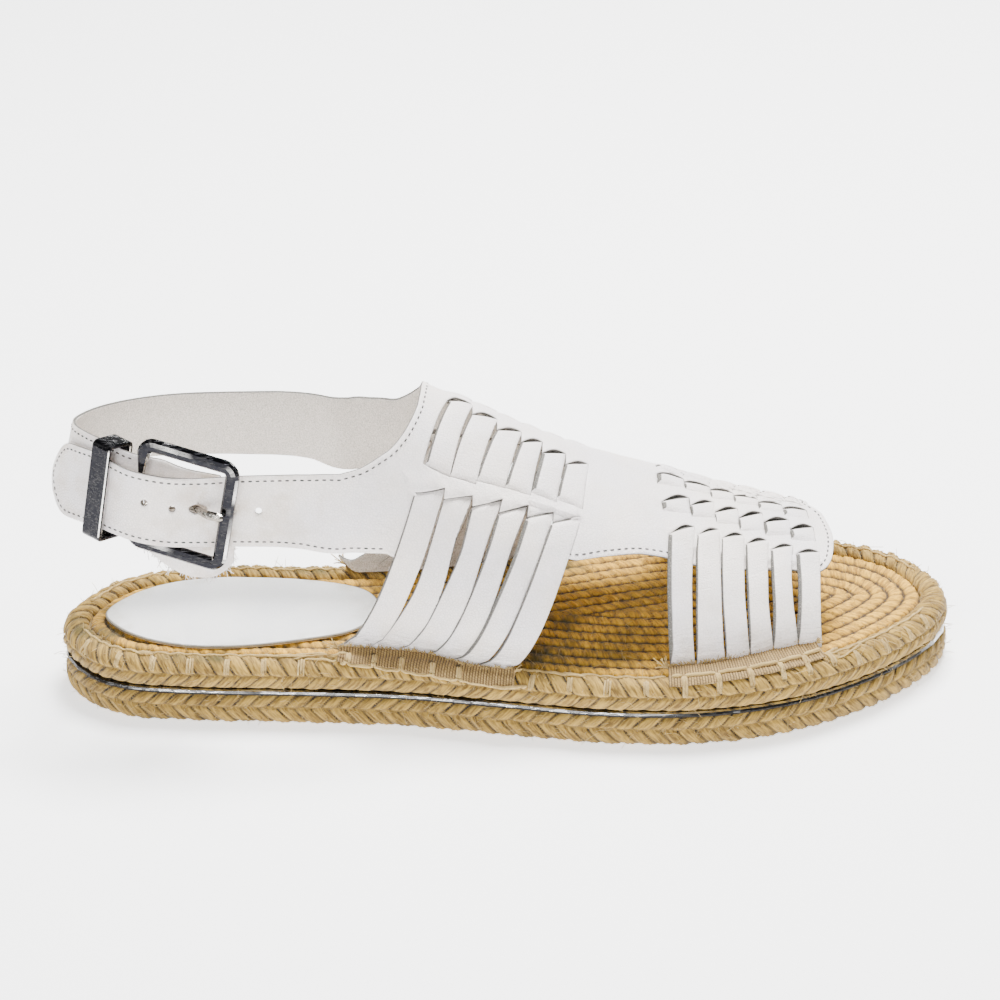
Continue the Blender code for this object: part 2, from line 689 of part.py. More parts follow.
def strap_y(rows, x):
    """Sideways place of a strap's middle line at x."""
    ordered = sorted(rows[:8])
    for a, b in zip(ordered, ordered[1:]):
        if a[0] <= x <= b[0]:
            return a[1] + (b[1] - a[1]) * (x - a[0]) / (b[0] - a[0])
    return ordered[-1][1]


def cut_straps(sheet):
    """Holes of the outer strap and the slot round the prong's eye."""
    cut(sheet, "cut_prong", prong_sections(PRONG_PATH[8:12], PRONG_HOLE_FIT))
    for i, (x, z) in enumerate(STRAP_HOLES):
        y = strap_y(OUTER_STRAP, x)
        cut(sheet, f"cut_hole_{i + 1}", hole_sections(
            x, y, z, STRAP_HOLE_RADIUS, STRAP_HOLE_RADIUS, 1.7))
    eye = prong_pivot()
    long, high = SLOT_AROUND_EYE
    cut(sheet, "cut_slot", hole_sections(
        eye.x - 0.5, eye.y + 2.5, eye.z, long / 2, high / 2, 2.2))


def main():
    clear_scene()
    rubber = material("rubber", (0.05, 0.045, 0.04), 0.7)
    jute = material("jute", (0.55, 0.41, 0.22), 0.9)
    chrome = material("chrome", (0.75, 0.75, 0.76), 0.15, 1.0)
    leather = material("white_leather", (0.86, 0.82, 0.79), 0.5)
    woven = material("woven_tape", (0.6, 0.48, 0.33), 0.9)
    outline = sole_outline()
    layer("outsole", outline, OUTSOLE_PROFILE, rubber)
    layer("lower_sole", outline, LOWER_JUTE_PROFILE, jute)
    piping(outline, chrome)
    layer("upper_sole", outline, UPPER_JUTE_PROFILE, jute)
    layer("footbed", outline, FOOTBED_PROFILE, jute)
    sock(leather)
    for row in TAPES:
        tape(*row, outline, woven)
    sheet = upper(leather)
    cut_straps(sheet)
    buckle_frame(chrome)
    swept_ring("buckle_prong", prong_sections(PRONG_PATH, 0.0), chrome, False)
    keeper(chrome)


main()
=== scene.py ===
# %% [markdown]
# # A woven leather sandal on a plaited jute sole
# The object is a flat summer sandal for the right foot.  Its sole is two
# layers of plaited jute with a bright piping between them.  The footbed is a
# coil of jute plait.  The upper is white leather: a vamp that leather strips
# are woven through, a collar, and two straps that close with a buckle.
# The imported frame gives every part's true size and place, so it comes first.
# Everything soft is then rebuilt round it as a finer piece.
# %% Load the packed sandal
import json
import math

import bpy
import numpy as np
from mathutils import Matrix, Vector, geometry
from mathutils.bvhtree import BVHTree

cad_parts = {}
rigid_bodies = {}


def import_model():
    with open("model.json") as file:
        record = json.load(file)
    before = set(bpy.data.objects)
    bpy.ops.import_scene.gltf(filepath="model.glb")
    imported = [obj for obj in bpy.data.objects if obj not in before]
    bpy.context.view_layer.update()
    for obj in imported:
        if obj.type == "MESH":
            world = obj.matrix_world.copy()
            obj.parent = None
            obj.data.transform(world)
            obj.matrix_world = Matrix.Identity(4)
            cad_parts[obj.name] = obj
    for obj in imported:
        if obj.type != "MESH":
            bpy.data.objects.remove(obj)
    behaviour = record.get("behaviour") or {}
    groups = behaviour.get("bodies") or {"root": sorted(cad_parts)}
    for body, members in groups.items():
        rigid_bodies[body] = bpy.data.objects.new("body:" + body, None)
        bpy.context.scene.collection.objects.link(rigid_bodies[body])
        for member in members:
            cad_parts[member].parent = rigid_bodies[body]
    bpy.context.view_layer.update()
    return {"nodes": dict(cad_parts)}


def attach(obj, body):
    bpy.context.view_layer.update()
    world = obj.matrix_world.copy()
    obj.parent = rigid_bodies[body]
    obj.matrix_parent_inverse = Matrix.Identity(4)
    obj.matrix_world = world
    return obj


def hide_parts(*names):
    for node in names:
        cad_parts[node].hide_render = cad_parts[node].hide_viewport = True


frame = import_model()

MM = 0.001                      # tables here are in millimetres

# %% [markdown]
# ## Camera
# A long lens from a little above the outer side shows the weave, the buckle
# and the coil at the toe together.  The camera looks down by 27.5 degrees and
# is rolled slightly, so its three axes are worked out as plain vectors and
# set as the columns of its matrix.  No shift and no depth of field are used.
# %% Camera from its angles
CAMERA_TURN, CAMERA_RISE, CAMERA_ROLL = 1.26, 27.5, -1.69   # degrees
CAMERA_AWAY = 953.0
CAMERA_AIM = (-0.5, 1.0, 58.1)
CAMERA_LENS = 113.65


def camera_axes(turn, rise, roll):
    """Right, up and backward directions of a camera, in degrees."""
    turn, rise, roll = (math.radians(v) for v in (turn, rise, roll))
    back = Vector((math.sin(turn) * math.cos(rise),
                   -math.cos(turn) * math.cos(rise), math.sin(rise)))
    right = (-back).cross(Vector((0, 0, 1))).normalized()
    up = right.cross(-back)
    return (right * math.cos(roll) + up * math.sin(roll),
            up * math.cos(roll) - right * math.sin(roll), back)


view_right, view_up, view_back = camera_axes(CAMERA_TURN, CAMERA_RISE, CAMERA_ROLL)
lens = bpy.data.cameras.new("studio_camera")
lens.lens, lens.sensor_width = CAMERA_LENS, 36.0
lens.clip_start, lens.clip_end = 0.01, 20.0
camera = bpy.data.objects.new("studio_camera", lens)
camera.matrix_world = Matrix.Translation(
    (Vector(CAMERA_AIM) + view_back * CAMERA_AWAY) * MM) @ Matrix(
    (view_right, view_up, view_back)).transposed().to_4x4()
bpy.context.scene.collection.objects.link(camera)
bpy.context.scene.camera = camera
print("camera stands at", [round(v, 3) for v in camera.matrix_world.translation])

# %% [markdown]
# ## Studio
# A pale floor and large soft lights keep the white leather bright while the
# creases and gaps still hold shade.  One big panel hangs over the shoe, one
# stands on the camera's side, and a weaker one fills from behind.
# %% Floor and lights
LIGHTS = [
    # name, place in metres, side in metres, power
    ("light_top", (0.15, 0.35, 1.2), 0.5, 62),
    ("light_front", (-0.35, -1.2, 0.75), 0.5, 14),
    ("light_back", (0.7, 0.9, 0.6), 0.6, 4)]
LIGHT_AIM = (0, 0, 0.04)        # all lights are turned to the shoe's middle
FLOOR_HALF = 6.0

for name, spot, size, power in LIGHTS:
    lamp = bpy.data.lights.new(name, "AREA")
    lamp.shape, lamp.size, lamp.energy = "SQUARE", size, power
    light = bpy.data.objects.new(name, lamp)
    light.location = spot
    light.rotation_euler = (Vector(LIGHT_AIM) - Vector(spot)).to_track_quat(
        "-Z", "Y").to_euler()
    bpy.context.scene.collection.objects.link(light)

sky = bpy.data.worlds.new("soft_room")
sky.use_nodes = True
sky_light = sky.node_tree.nodes["Background"]
sky_light.inputs["Color"].default_value = (0.93, 0.96, 1.0, 1)
sky_light.inputs["Strength"].default_value = 0.26
bpy.context.scene.world = sky

floor_mesh = bpy.data.meshes.new("studio_floor")
floor_mesh.from_pydata([(-FLOOR_HALF, -FLOOR_HALF, 0), (FLOOR_HALF, -FLOOR_HALF, 0),
                        (FLOOR_HALF, FLOOR_HALF, 0), (-FLOOR_HALF, FLOOR_HALF, 0)],
                       [], [(0, 1, 2, 3)])
floor = bpy.data.objects.new("studio_floor", floor_mesh)
bpy.context.scene.collection.objects.link(floor)

# %% [markdown]
# ## Nodes in few words
# Every finish here is made of nodes.  `put` adds one node, sets its options
# and fills its inputs: a socket is linked and a number is typed in.  `effect`
# makes a named group with named inputs and outputs, so that one effect can be
# placed in several materials with different values.  `times`, `plus` and
# `most` stand for the Math nodes that are needed again and again.
# %% Helpers for shader nodes
def put(tree, kind, inputs=None, **options):
    """One node of a tree; inputs maps names or places to sockets or values."""
    made = tree.nodes.new("ShaderNode" + kind)
    for key, value in options.items():
        setattr(made, key, value)
    for key, value in (inputs or {}).items():
        socket = made.inputs[key]
        if isinstance(value, bpy.types.NodeSocket):
            tree.links.new(value, socket)
        else:
            socket.default_value = value
    return made


def calc(tree, operation, *values):
    """The result of one Math node."""
    return put(tree, "Math", dict(enumerate(values)), operation=operation).outputs[0]


def times(tree, a, b):
    """One value multiplied by another."""
    return calc(tree, "MULTIPLY", a, b)


def plus(tree, a, b):
    """The sum of two values."""
    return calc(tree, "ADD", a, b)


def most(tree, a, b):
    """The larger of two values."""
    return calc(tree, "MAXIMUM", a, b)


def span(tree, value, low, high, to_low=0.0, to_high=1.0):
    """A value mapped smoothly from one range to another."""
    return put(tree, "MapRange", {"Value": value, "From Min": low, "From Max": high,
                                  "To Min": to_low, "To Max": to_high},
               interpolation_type="SMOOTHSTEP").outputs["Result"]


def blend_colours(tree, share, a, b):
    """Colour a with b laid over it by share."""
    return put(tree, "Mix", {0: share, 6: a, 7: b}, data_type="RGBA").outputs[2]


def noise(tree, vector, scale, detail=2.0, rough=0.5):
    """A cloudy pattern over a vector."""
    return put(tree, "TexNoise", {"Vector": vector, "Scale": scale, "Detail": detail,
                                  "Roughness": rough}).outputs["Fac"]


def stretched(tree, vector, factors):
    """A vector scaled by a different factor on each axis."""
    return put(tree, "Mapping", {"Vector": vector, "Scale": factors}).outputs[0]


def on_object(tree):
    """Where a point is on its own object."""
    return put(tree, "TexCoord").outputs["Object"]


def own(tree, name, vector=False):
    """A value that the mesh itself holds at each of its points."""
    made = put(tree, "Attribute", attribute_name=name)
    return made.outputs["Vector" if vector else "Fac"]


KINDS = {float: "Float", tuple: "Color", type(None): "Vector"}


def effect(name, takes, gives):
    """An empty group; takes maps inputs to first values, None for a vector."""
    tree = bpy.data.node_groups.new(name, "ShaderNodeTree")
    for label, value in takes.items():
        socket = tree.interface.new_socket(
            label, in_out="INPUT", socket_type="NodeSocket" + KINDS[type(value)])
        if value is not None:
            socket.default_value = value
    for label, kind in gives.items():
        tree.interface.new_socket(label, in_out="OUTPUT", socket_type="NodeSocket" + kind)
    return tree, tree.nodes.new("NodeGroupInput").outputs, \
        tree.nodes.new("NodeGroupOutput").inputs


def place(tree, group, **values):
    """The outputs of a group set in a tree with its own values."""
    return put(tree, "Group", values, node_tree=group).outputs


def new_material(name, **fixed):
    """A material, its tree and its Principled shader with fixed values set."""
    made = bpy.data.materials.new(name)
    made.use_nodes = True
    shader = made.node_tree.nodes["Principled BSDF"]
    for key, value in fixed.items():
        shader.inputs[key.replace("_", " ")].default_value = value
    return made, made.node_tree, shader


def feed(tree, shader, colour=None, roughness=None, height=None, depth=MM):
    """Link what varies over a surface into its shader."""
    if colour is not None:
        tree.links.new(colour, shader.inputs["Base Color"])
    if roughness is not None:
        tree.links.new(roughness, shader.inputs["Roughness"])
    if height is not None:
        bump = put(tree, "Bump", {"Height": height, "Distance": depth})
        tree.links.new(bump.outputs["Normal"], shader.inputs["Normal"])


def shade(red, green, blue):
    """A colour given on the usual 0 to 255 scale, as the shader wants it."""
    parts = [v / 255 for v in (red, green, blue)]
    return tuple(((v + 0.055) / 1.055) ** 2.4 if v > 0.04 else v / 12.92
                 for v in parts) + (1.0,)


print("node helpers ready")

# %% [markdown]
# ## Shared effects
# Jute is a bundle of flat golden hairs.  Each strand's mesh holds how far a
# point is along the strand, across it, and which strand it is, so one fibre
# effect can draw hairs that always run with the strand.  Where the mesh says a
# point lies deep in a crease, the fibre effect paints it darker: painted shade.
# Soil is a second effect: slow patches that grey whatever they lie on.  Grain
# is the third: the small pebbles of soft leather with finer wrinkles between
# them, and valleys between the pebbles that the leather finishes paint darker
# as painted shade.
# %% Fibre, soil and grain groups
WHITE, BLACK = (1, 1, 1, 1), (0, 0, 0, 1)
fibre, take, give = effect(
    "fibre", {"Strand": None, "Crease": 0.0, "Light": WHITE, "Dark": BLACK,
              "Deep": BLACK, "Hairs": 2.4}, {"Color": "Color", "Height": "Float"})
hairs = noise(fibre, stretched(fibre, take["Strand"], (0.16, 1.0, 1.0)),
              take["Hairs"], 4.0, 0.65)
bundles = noise(fibre, stretched(fibre, take["Strand"], (0.10, 0.9, 1.0)), 0.9)
strands = noise(fibre, stretched(fibre, take["Strand"], (0.01, 0.0, 1.0)), 1.0, 0.0)
tone = plus(fibre, times(fibre, span(fibre, hairs, 0.38, 0.60), 0.60),
            times(fibre, span(fibre, bundles, 0.35, 0.65), 0.25))
tone = plus(fibre, tone, times(fibre, span(fibre, strands, 0.3, 0.7), 0.20))
jute_colour = blend_colours(fibre, tone, take["Dark"], take["Light"])
# painted shade: the deeper a point lies in a crease, the more its colour turns to the shade
# colour
painted_shade = times(fibre, span(fibre, take["Crease"], 0.06, 0.62), 0.92)
jute_colour = blend_colours(fibre, painted_shade, jute_colour, take["Deep"])
fibre.links.new(jute_colour, give["Color"])
fibre.links.new(plus(fibre, times(fibre, hairs, 0.7), times(fibre, bundles, 0.5)),
                give["Height"])

soil, take, give = effect(
    "soil", {"Color": WHITE, "Dirt": BLACK, "Amount": 0.5, "Patch": 60.0},
    {"Color": "Color"})
patches = noise(soil, on_object(soil), take["Patch"], 5.0, 0.6)
soil_share = times(soil, span(soil, patches, 0.42, 0.72), take["Amount"])
soil.links.new(blend_colours(soil, soil_share, take["Color"], take["Dirt"]),
               give["Color"])

grain, take, give = effect(
    "grain", {"Pebbles": 0.5, "Wrinkles": 0.0, "Across": None},
    {"Height": "Float", "ValleyShade": "Float"})
fine = noise(grain, on_object(grain), 1900.0, 3.0, 0.6)
cells = put(grain, "TexVoronoi", {"Vector": on_object(grain), "Scale": 1150.0},
            feature="DISTANCE_TO_EDGE").outputs["Distance"]
valley = span(grain, cells, 0.0, 0.16, 1.0, 0.0)
lines = noise(grain, stretched(grain, take["Across"], (0.25, 2.6, 1.0)), 0.55, 3.0, 0.6)
folds = times(grain, span(grain, lines, 0.36, 0.58), take["Wrinkles"])
bumps = calc(grain, "SUBTRACT", times(grain, fine, 0.5), times(grain, valley, 0.45))
grain.links.new(plus(grain, times(grain, bumps, take["Pebbles"]), folds), give["Height"])
# painted shade: the valleys between the pebbles, which the leather finishes paint darker
grain.links.new(times(grain, valley, take["Pebbles"]), give["ValleyShade"])
print("groups:", [g.name for g in bpy.data.node_groups])

# %% [markdown]
# ## Finishes of the jute, the threads and the tapes
# Pale jute for the plaits, a warmer golden one for the coil that the foot
# stands on, twisted thread for the sewing, and a ribbed cotton tape.  They
# share the fibre effect and differ in colour and in how much they are soiled.
# %% Jute, thread and tape materials
# The third colour is the painted shade that the crease value mixes into the creases.
def jute_material(name, light, dark, painted_shade, dirt, amount, hairs, depth):
    """A fibrous finish that follows the strands its mesh describes."""
    made, tree, shader = new_material(
        name, Roughness=0.72, Specular_IOR_Level=0.3, Sheen_Weight=0.15,
        Sheen_Roughness=0.5)
    out = place(tree, fibre, Strand=own(tree, "strand", True), Crease=own(tree, "crease_shade"),
                Light=light, Dark=dark, Deep=painted_shade, Hairs=hairs)
    worn = place(tree, soil, Color=out["Color"], Dirt=dirt, Patch=45.0,
                 Amount=times(tree, own(tree, "worn"), amount))
    feed(tree, shader, worn["Color"], None, out["Height"], depth * MM)
    return made


PLAIT_JUTE = jute_material(
    "plaited_jute", shade(187, 151, 70), shade(92, 68, 25), shade(16, 10, 2),
    shade(78, 68, 24), 1.2, 1.6, 0.55)
COIL_JUTE = jute_material(
    "coiled_jute", shade(240, 184, 56), shade(140, 98, 20), shade(40, 24, 4),
    shade(70, 60, 16), 1.1, 1.9, 0.45)
THREAD_JUTE = jute_material(
    "sewing_thread", shade(214, 186, 122), shade(146, 114, 60), shade(50, 34, 12),
    shade(98, 80, 40), 0.6, 2.6, 0.25)
TAPE_JUTE = jute_material(
    "woven_tape", shade(190, 156, 98), shade(126, 98, 54), shade(62, 50, 26),
    shade(92, 72, 36), 0.7, 3.0, 0.25)

# %% [markdown]
# ## Finishes of the leather
# The leather is white with a warm cast.  Where it was cut, the fibrous flesh
# shows grey and dry; the mesh marks these places as cut.  The same mark paints
# the strips' faces this grey where they dive under the vamp: painted shade.  The
# grain's valleys lean towards the grey too, as painted shade.  The inner face is
# `inside`, a pale suede.  `soiled` marks where hands and the buckle have
# rubbed it beige, and `creased` where small folds run across a strip.
# %% White leather, lining and sewing materials
def leather_material(name, white, cool, flesh_grey_and_shade, suede, dirt, pebbles):
    """Grained leather with dry cut edges and a suede inner face."""
    made, tree, shader = new_material(name, Specular_IOR_Level=0.42, Coat_Roughness=0.35)
    # painted shade: this mark is 1 on cut edges and also on strips' faces where they dive
    # under the vamp, which get the grey flesh colour as shade
    cut = span(tree, own(tree, "cut"), 0.25, 0.6)
    inside = own(tree, "inside")
    out = place(tree, grain, Pebbles=pebbles, Wrinkles=own(tree, "creased"),
                Across=own(tree, "strand", True))
    slow = noise(tree, on_object(tree), 38.0, 3.0)
    face = blend_colours(tree, span(tree, slow, 0.35, 0.7), white, cool)
    # painted shade: the grain's valleys are painted towards the flesh grey
    face = blend_colours(tree, times(tree, out["ValleyShade"], 0.22), face, flesh_grey_and_shade)
    face = place(tree, soil, Color=face, Dirt=dirt, Patch=120.0,
                 Amount=own(tree, "soiled"))["Color"]
    fuzz = noise(tree, on_object(tree), 2600.0, 4.0, 0.7)
    dry_flesh_and_shade = blend_colours(tree, span(tree, fuzz, 0.48, 0.78), flesh_grey_and_shade, suede)
    back = blend_colours(tree, span(tree, fuzz, 0.3, 0.7), suede, white)
    face = blend_colours(tree, inside, face, back)
    face = blend_colours(tree, cut, face, dry_flesh_and_shade)
    rough = plus(tree, 0.42, times(tree, most(tree, cut, inside), 0.45))
    nap = times(tree, most(tree, cut, times(tree, inside, 0.4)), times(tree, fuzz, 1.6))
    feed(tree, shader, face, rough, plus(tree, out["Height"], nap), 0.30 * MM)
    return made


WHITE_LEATHER = leather_material(
    "white_leather", shade(253, 244, 237), shade(246, 240, 241), shade(104, 102, 97),
    shade(196, 190, 178), shade(196, 176, 146), 0.55)
LINING_LEATHER = leather_material(
    "sock_leather", shade(232, 232, 230), shade(222, 223, 224), shade(150, 146, 138),
    shade(214, 208, 190), shade(170, 164, 140), 0.35)

EDGE_THREAD, edge_tree, edge_shader = new_material("edge_thread", Roughness=0.6)
twist = noise(edge_tree, stretched(edge_tree, own(edge_tree, "strand", True),
                                   (2.2, 1.0, 1.0)), 1.6)
dark_thread = blend_colours(edge_tree, span(edge_tree, twist, 0.3, 0.7),
                            shade(34, 33, 34), shade(96, 92, 88))
feed(edge_tree, edge_shader, dark_thread, None, twist, 0.15 * MM)

# %% [markdown]
# ## Finishes of the metal and the rubber
# The buckle, its prong and the keeper are plated bright, with hairline
# scratches and a slightly yellow, dull bloom.  All metal here also carries
# painted highlights: streaks of light and lighter tops, set by which way the
# surface faces, over a dark colour that stands in for dark reflections.  The
# piping is a metallised ribbon.  The outsole is a thin, matt rubber with a fine
# speckle.
# %% Chrome, piping and rubber materials
scratches, take, give = effect(
    "scratches", {"Scale": 300.0}, {"Rub": "Float", "Height": "Float"})
marks = []
for turn in ((0.3, 0.2, 0.5), (1.2, 0.7, 2.1), (2.3, 1.1, 1.0)):
    turned = put(scratches, "Mapping", {"Vector": on_object(scratches), "Rotation": turn,
                                        "Scale": (0.06, 1.0, 1.0)}).outputs[0]
    line = noise(scratches, turned, times(scratches, take["Scale"], 4.0))
    marks.append(span(scratches, line, 0.60, 0.68))
rub = most(scratches, most(scratches, *marks[:2]), marks[2])
bloom = span(scratches, noise(scratches, on_object(scratches), take["Scale"], 4.0),
             0.4, 0.75)
scratches.links.new(plus(scratches, times(scratches, rub, 0.6),
                         times(scratches, bloom, 0.4)), give["Rub"])
scratches.links.new(times(scratches, rub, -1.0), give["Height"])

# Painted highlights and reflections: the colour turns from a dark painted shade to a painted
# highlight along a streak set by the surface's direction, and on faces that look up.
painted_highlights, take, give = effect(
    "painted_highlights", {"Deep": BLACK, "Bright": WHITE, "Low": 0.3, "Width": 0.1, "Top": 0.7},
    {"Color": "Color"})
normal = put(painted_highlights, "NewGeometry").outputs["Normal"]
towards = put(painted_highlights, "SeparateXYZ", {"Vector": normal}).outputs
waver = calc(painted_highlights, "SUBTRACT", noise(painted_highlights, on_object(painted_highlights), 60.0), 0.5)
rise = plus(painted_highlights, times(painted_highlights, towards["X"], 0.65),
            plus(painted_highlights, towards["Z"], times(painted_highlights, waver, 0.55)))
from_low = calc(painted_highlights, "ABSOLUTE", calc(painted_highlights, "SUBTRACT", rise, take["Low"]))
highlight_streak = calc(painted_highlights, "SUBTRACT", 1.0, span(painted_highlights, from_low, 0.0, take["Width"]))
highlight_share = most(painted_highlights, highlight_streak, span(painted_highlights, rise, take["Top"],
                                         plus(painted_highlights, take["Top"], 0.2)))
painted_highlights.links.new(blend_colours(painted_highlights, highlight_share, take["Deep"], take["Bright"]),
                 give["Color"])


def metal_material(name, painted_shade, highlight_colour, dull, smooth, scale, low, width, top):
    """Plated metal with painted highlights in long streaks, scratched and bloomed by wear.
    """
    made, tree, shader = new_material(name, Metallic=1.0)
    out = place(tree, scratches, Scale=scale)
    face = place(tree, painted_highlights, Deep=painted_shade, Bright=highlight_colour, Low=low, Width=width,
                 Top=top)["Color"]
    feed(tree, shader, blend_colours(tree, times(tree, out["Rub"], 0.14), face, dull),
         span(tree, out["Rub"], 0.0, 1.0, smooth, smooth + 0.25), out["Height"], 0.03 * MM)
    return made


# colours: painted shade, painted highlight, and the scratches' own dull colour
CHROME = metal_material(
    "worn_chrome_painted_highlights", shade(34, 34, 38), shade(240, 238, 234), shade(136, 134, 130),
    0.10, 420.0, 0.16, 0.15, 1.10)
PRONG_CHROME = metal_material(
    "prong_painted_highlights", shade(140, 134, 124), shade(250, 244, 232), shade(150, 146, 140),
    0.14, 420.0, 0.2, 0.3, 0.9)
SILVER_PIPING = metal_material(
    "silver_piping_painted_highlights", shade(52, 51, 50), shade(206, 206, 206), shade(96, 92, 86),
    0.2, 300.0, 0.30, 0.22, 0.8)
OUTSOLE_RUBBER, rubber_tree, rubber_shader = new_material("outsole_rubber", Roughness=0.8)
speck = noise(rubber_tree, on_object(rubber_tree), 900.0, 3.0)
brown = blend_colours(rubber_tree, span(rubber_tree, speck, 0.4, 0.7),
                      shade(120, 96, 70), shade(86, 68, 50))
feed(rubber_tree, rubber_shader, brown, None, speck, 0.1 * MM)

floor.data.materials.append(new_material(
    "floor_paper", Roughness=0.9, Base_Color=(0.93, 0.93, 0.925, 1),
    Emission_Color=WHITE, Emission_Strength=1.5)[0])

for node_name, finish in {
        "buckle_frame": CHROME, "buckle_prong": PRONG_CHROME, "strap_keeper": CHROME,
        "rand_piping": SILVER_PIPING, "outsole": OUTSOLE_RUBBER}.items():
    for spot in frame["nodes"][node_name].material_slots:
        spot.material = finish
print("materials:", len(bpy.data.materials))

# %% [markdown]
# ## Curves, rows of numbers and meshes
# Tables of a few points become smooth curves.  Small variations come from sums
# of sines and from a hash of a strand's number, so the result is the same each
# time.  `piece` turns arrays of points and faces into an object on the sandal.
# %% Helpers for curves and meshes
def catmull(rows, steps, closed=False):
    """A smooth row of points through those of a table."""
    rows = np.asarray(rows, float)
    count = len(rows)
    made = []
    for i in range(count if closed else count - 1):
        near = [(i + k) % count if closed else min(max(i + k, 0), count - 1)
                for k in (-1, 0, 1, 2)]
        a, b, c, d = rows[near]
        for t in np.arange(steps) / steps:
            made.append(0.5 * (2 * b + (c - a) * t + (2 * a - 5 * b + 4 * c - d) * t * t
                               + (3 * b - a - 3 * c + d) * t ** 3))
    if not closed:
        made.append(rows[-1])
    return np.array(made)


def read_at(at, far, rows):
    """Each column of rows, which stand at the distances far, read at places."""
    return np.stack([np.interp(at, far, column) for column in np.asarray(rows).T], -1)


def walked(points):
    """Distance walked along a row of points, at each of them."""
    steps = np.linalg.norm(np.diff(points, axis=0), axis=1)
    return np.concatenate([[0.0], np.cumsum(steps)])


def resample(points, count, closed=False):
    """The same curve with evenly spaced points."""
    if closed:
        points = np.vstack([points, points[:1]])
    far = walked(points)
    return read_at(np.linspace(0, far[-1], count, endpoint=not closed), far, points)


def smoothstep(low, high, value):
    """A soft ramp from 0 at low to 1 at high."""
    t = np.clip((value - low) / (high - low), 0, 1)
    return t * t * (3 - 2 * t)


def chance(number, seed):
    """A repeatable value from 0 to 1 for each whole number."""
    mixed = np.sin(np.asarray(number, float) * 12.9898 + seed * 78.233) * 43758.5453
    return mixed - np.floor(mixed)


def wobble(at, seed, wave=10.0):
    """A slow wave from -1 to 1 along a distance."""
    total = 0.0
    for k, weight in enumerate((0.5, 0.3, 0.2)):
        start = math.tau * chance(k, seed)
        turn = np.asarray(at) * math.tau * (1.7 ** k) / wave + start
        total = total + weight * np.sin(turn)
    return total


def unit(vectors):
    """The same directions with length one."""
    size = np.linalg.norm(vectors, axis=-1, keepdims=True)
    return vectors / np.maximum(size, 1e-12)


def piece(name, solid, finish):
    """An object from a solid: points in mm, faces, and named values at the points."""
    points, faces, values = solid
    mesh = bpy.data.meshes.new(name)
    if isinstance(faces, np.ndarray):
        mesh.vertices.add(len(points))
        mesh.vertices.foreach_set("co", (points * MM).ravel())
        mesh.loops.add(faces.size)
        mesh.loops.foreach_set("vertex_index", faces.ravel())
        mesh.polygons.add(len(faces))
        mesh.polygons.foreach_set("loop_start", np.arange(len(faces)) * faces.shape[1])
        mesh.update(calc_edges=True)
    else:
        mesh.from_pydata((points * MM).tolist(), [], faces)
    for key, row in values.items():
        kind, field = [("FLOAT", "value"), ("FLOAT_VECTOR", "vector")][row.ndim - 1]
        mesh.attributes.new(key, kind, "POINT").data.foreach_set(
            field, np.asarray(row, np.float32).ravel())
    mesh.validate()
    mesh.shade_smooth()
    mesh.materials.append(finish)
    made = bpy.data.objects.new(name, mesh)
    bpy.context.scene.collection.objects.link(made)
    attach(made, "root")
    print(f"{name}: {len(mesh.vertices)} points, {len(mesh.polygons)} faces")
    return made


def grid_faces(rows, columns, wrap_rows=False, wrap_columns=False):
    """Quads over a grid of points stored row by row."""
    r = np.arange(rows if wrap_rows else rows - 1)[:, None]
    c = np.arange(columns if wrap_columns else columns - 1)[None, :]
    r2, c2 = (r + 1) % rows, (c + 1) % columns
    return np.stack(np.broadcast_arrays(
        r * columns + c, r * columns + c2, r2 * columns + c2, r2 * columns + c),
        -1).reshape(-1, 4)


def split_quads(quads):
    """Two triangles for each quad."""
    return np.vstack([quads[:, [0, 1, 2]], quads[:, [0, 2, 3]]])


def tube_faces(rings, sides, flip=False):
    """Triangles of a closed tube whose points are stored ring by ring."""
    quads = grid_faces(rings, sides, wrap_columns=True)
    last = (rings - 1) * sides
    caps = np.array([(0, k + 1, k) for k in range(1, sides - 1)]
                    + [(last, last + k, last + k + 1) for k in range(1, sides - 1)])
    if flip:
        quads, caps = quads[:, ::-1], caps[:, [0, 2, 1]]
    return np.vstack([split_quads(quads), caps])


def facing(points, faces, outward_one):
    """The quads, turned over if the first one looks away from a direction."""
    quad = points[faces[0]]
    looks = np.cross(quad[1] - quad[0], quad[3] - quad[0])
    return faces[:, ::-1] if np.dot(looks, outward_one) < 0 else faces


def renumber(faces):
    """The points that faces use, and the faces numbered among them."""
    used = np.unique(faces)
    number = np.zeros(used[-1] + 1, int)
    number[used] = np.arange(len(used))
    return used, number[faces]


def mesh_values(mesh, field):
    """A mesh's points ("co") or their directions ("normal") as rows."""
    rows = np.empty(len(mesh.vertices) * 3)
    mesh.vertices.foreach_get(field, rows)
    return rows.reshape(-1, 3)


print("mesh helpers ready")

# %% [markdown]
# ## The sole's outline and its layers
# Both jute layers follow one outline.  A layer is a ring of short steps along
# it, and each step carries the same profile, given as a distance inside the
# outline and a height.  It closes behind the visible face to a solid ring.
# %% Outline and profiles
SOLE_OUTLINE = [
    # x, y
    (-136.0, 0.0), (-129.5, -16.0), (-115.0, -26.5), (-90.0, -30.5),
    (-60.0, -32.5), (-30.0, -35.5), (0.0, -41.5), (29.0, -47.3),
    (57.0, -48.6), (82.0, -43.8), (102.0, -34.6), (120.0, -21.0),
    (132.5, -6.0), (136.0, 8.0), (130.5, 23.5), (118.5, 35.5),
    (98.0, 44.0), (78.0, 48.0), (53.0, 48.6), (28.0, 43.4),
    (-1.0, 35.6), (-31.0, 31.8), (-60.0, 31.6), (-90.0, 33.3),
    (-114.0, 28.9), (-128.5, 17.6)]
LOWER_FACE = [(4.0, 0.6), (2.6, 0.45), (1.1, 0.9), (0.25, 2.2), (0.05, 4.0),
              (0.05, 6.0), (0.1, 7.4), (0.6, 9.0), (2.0, 10.1), (3.4, 10.3)]
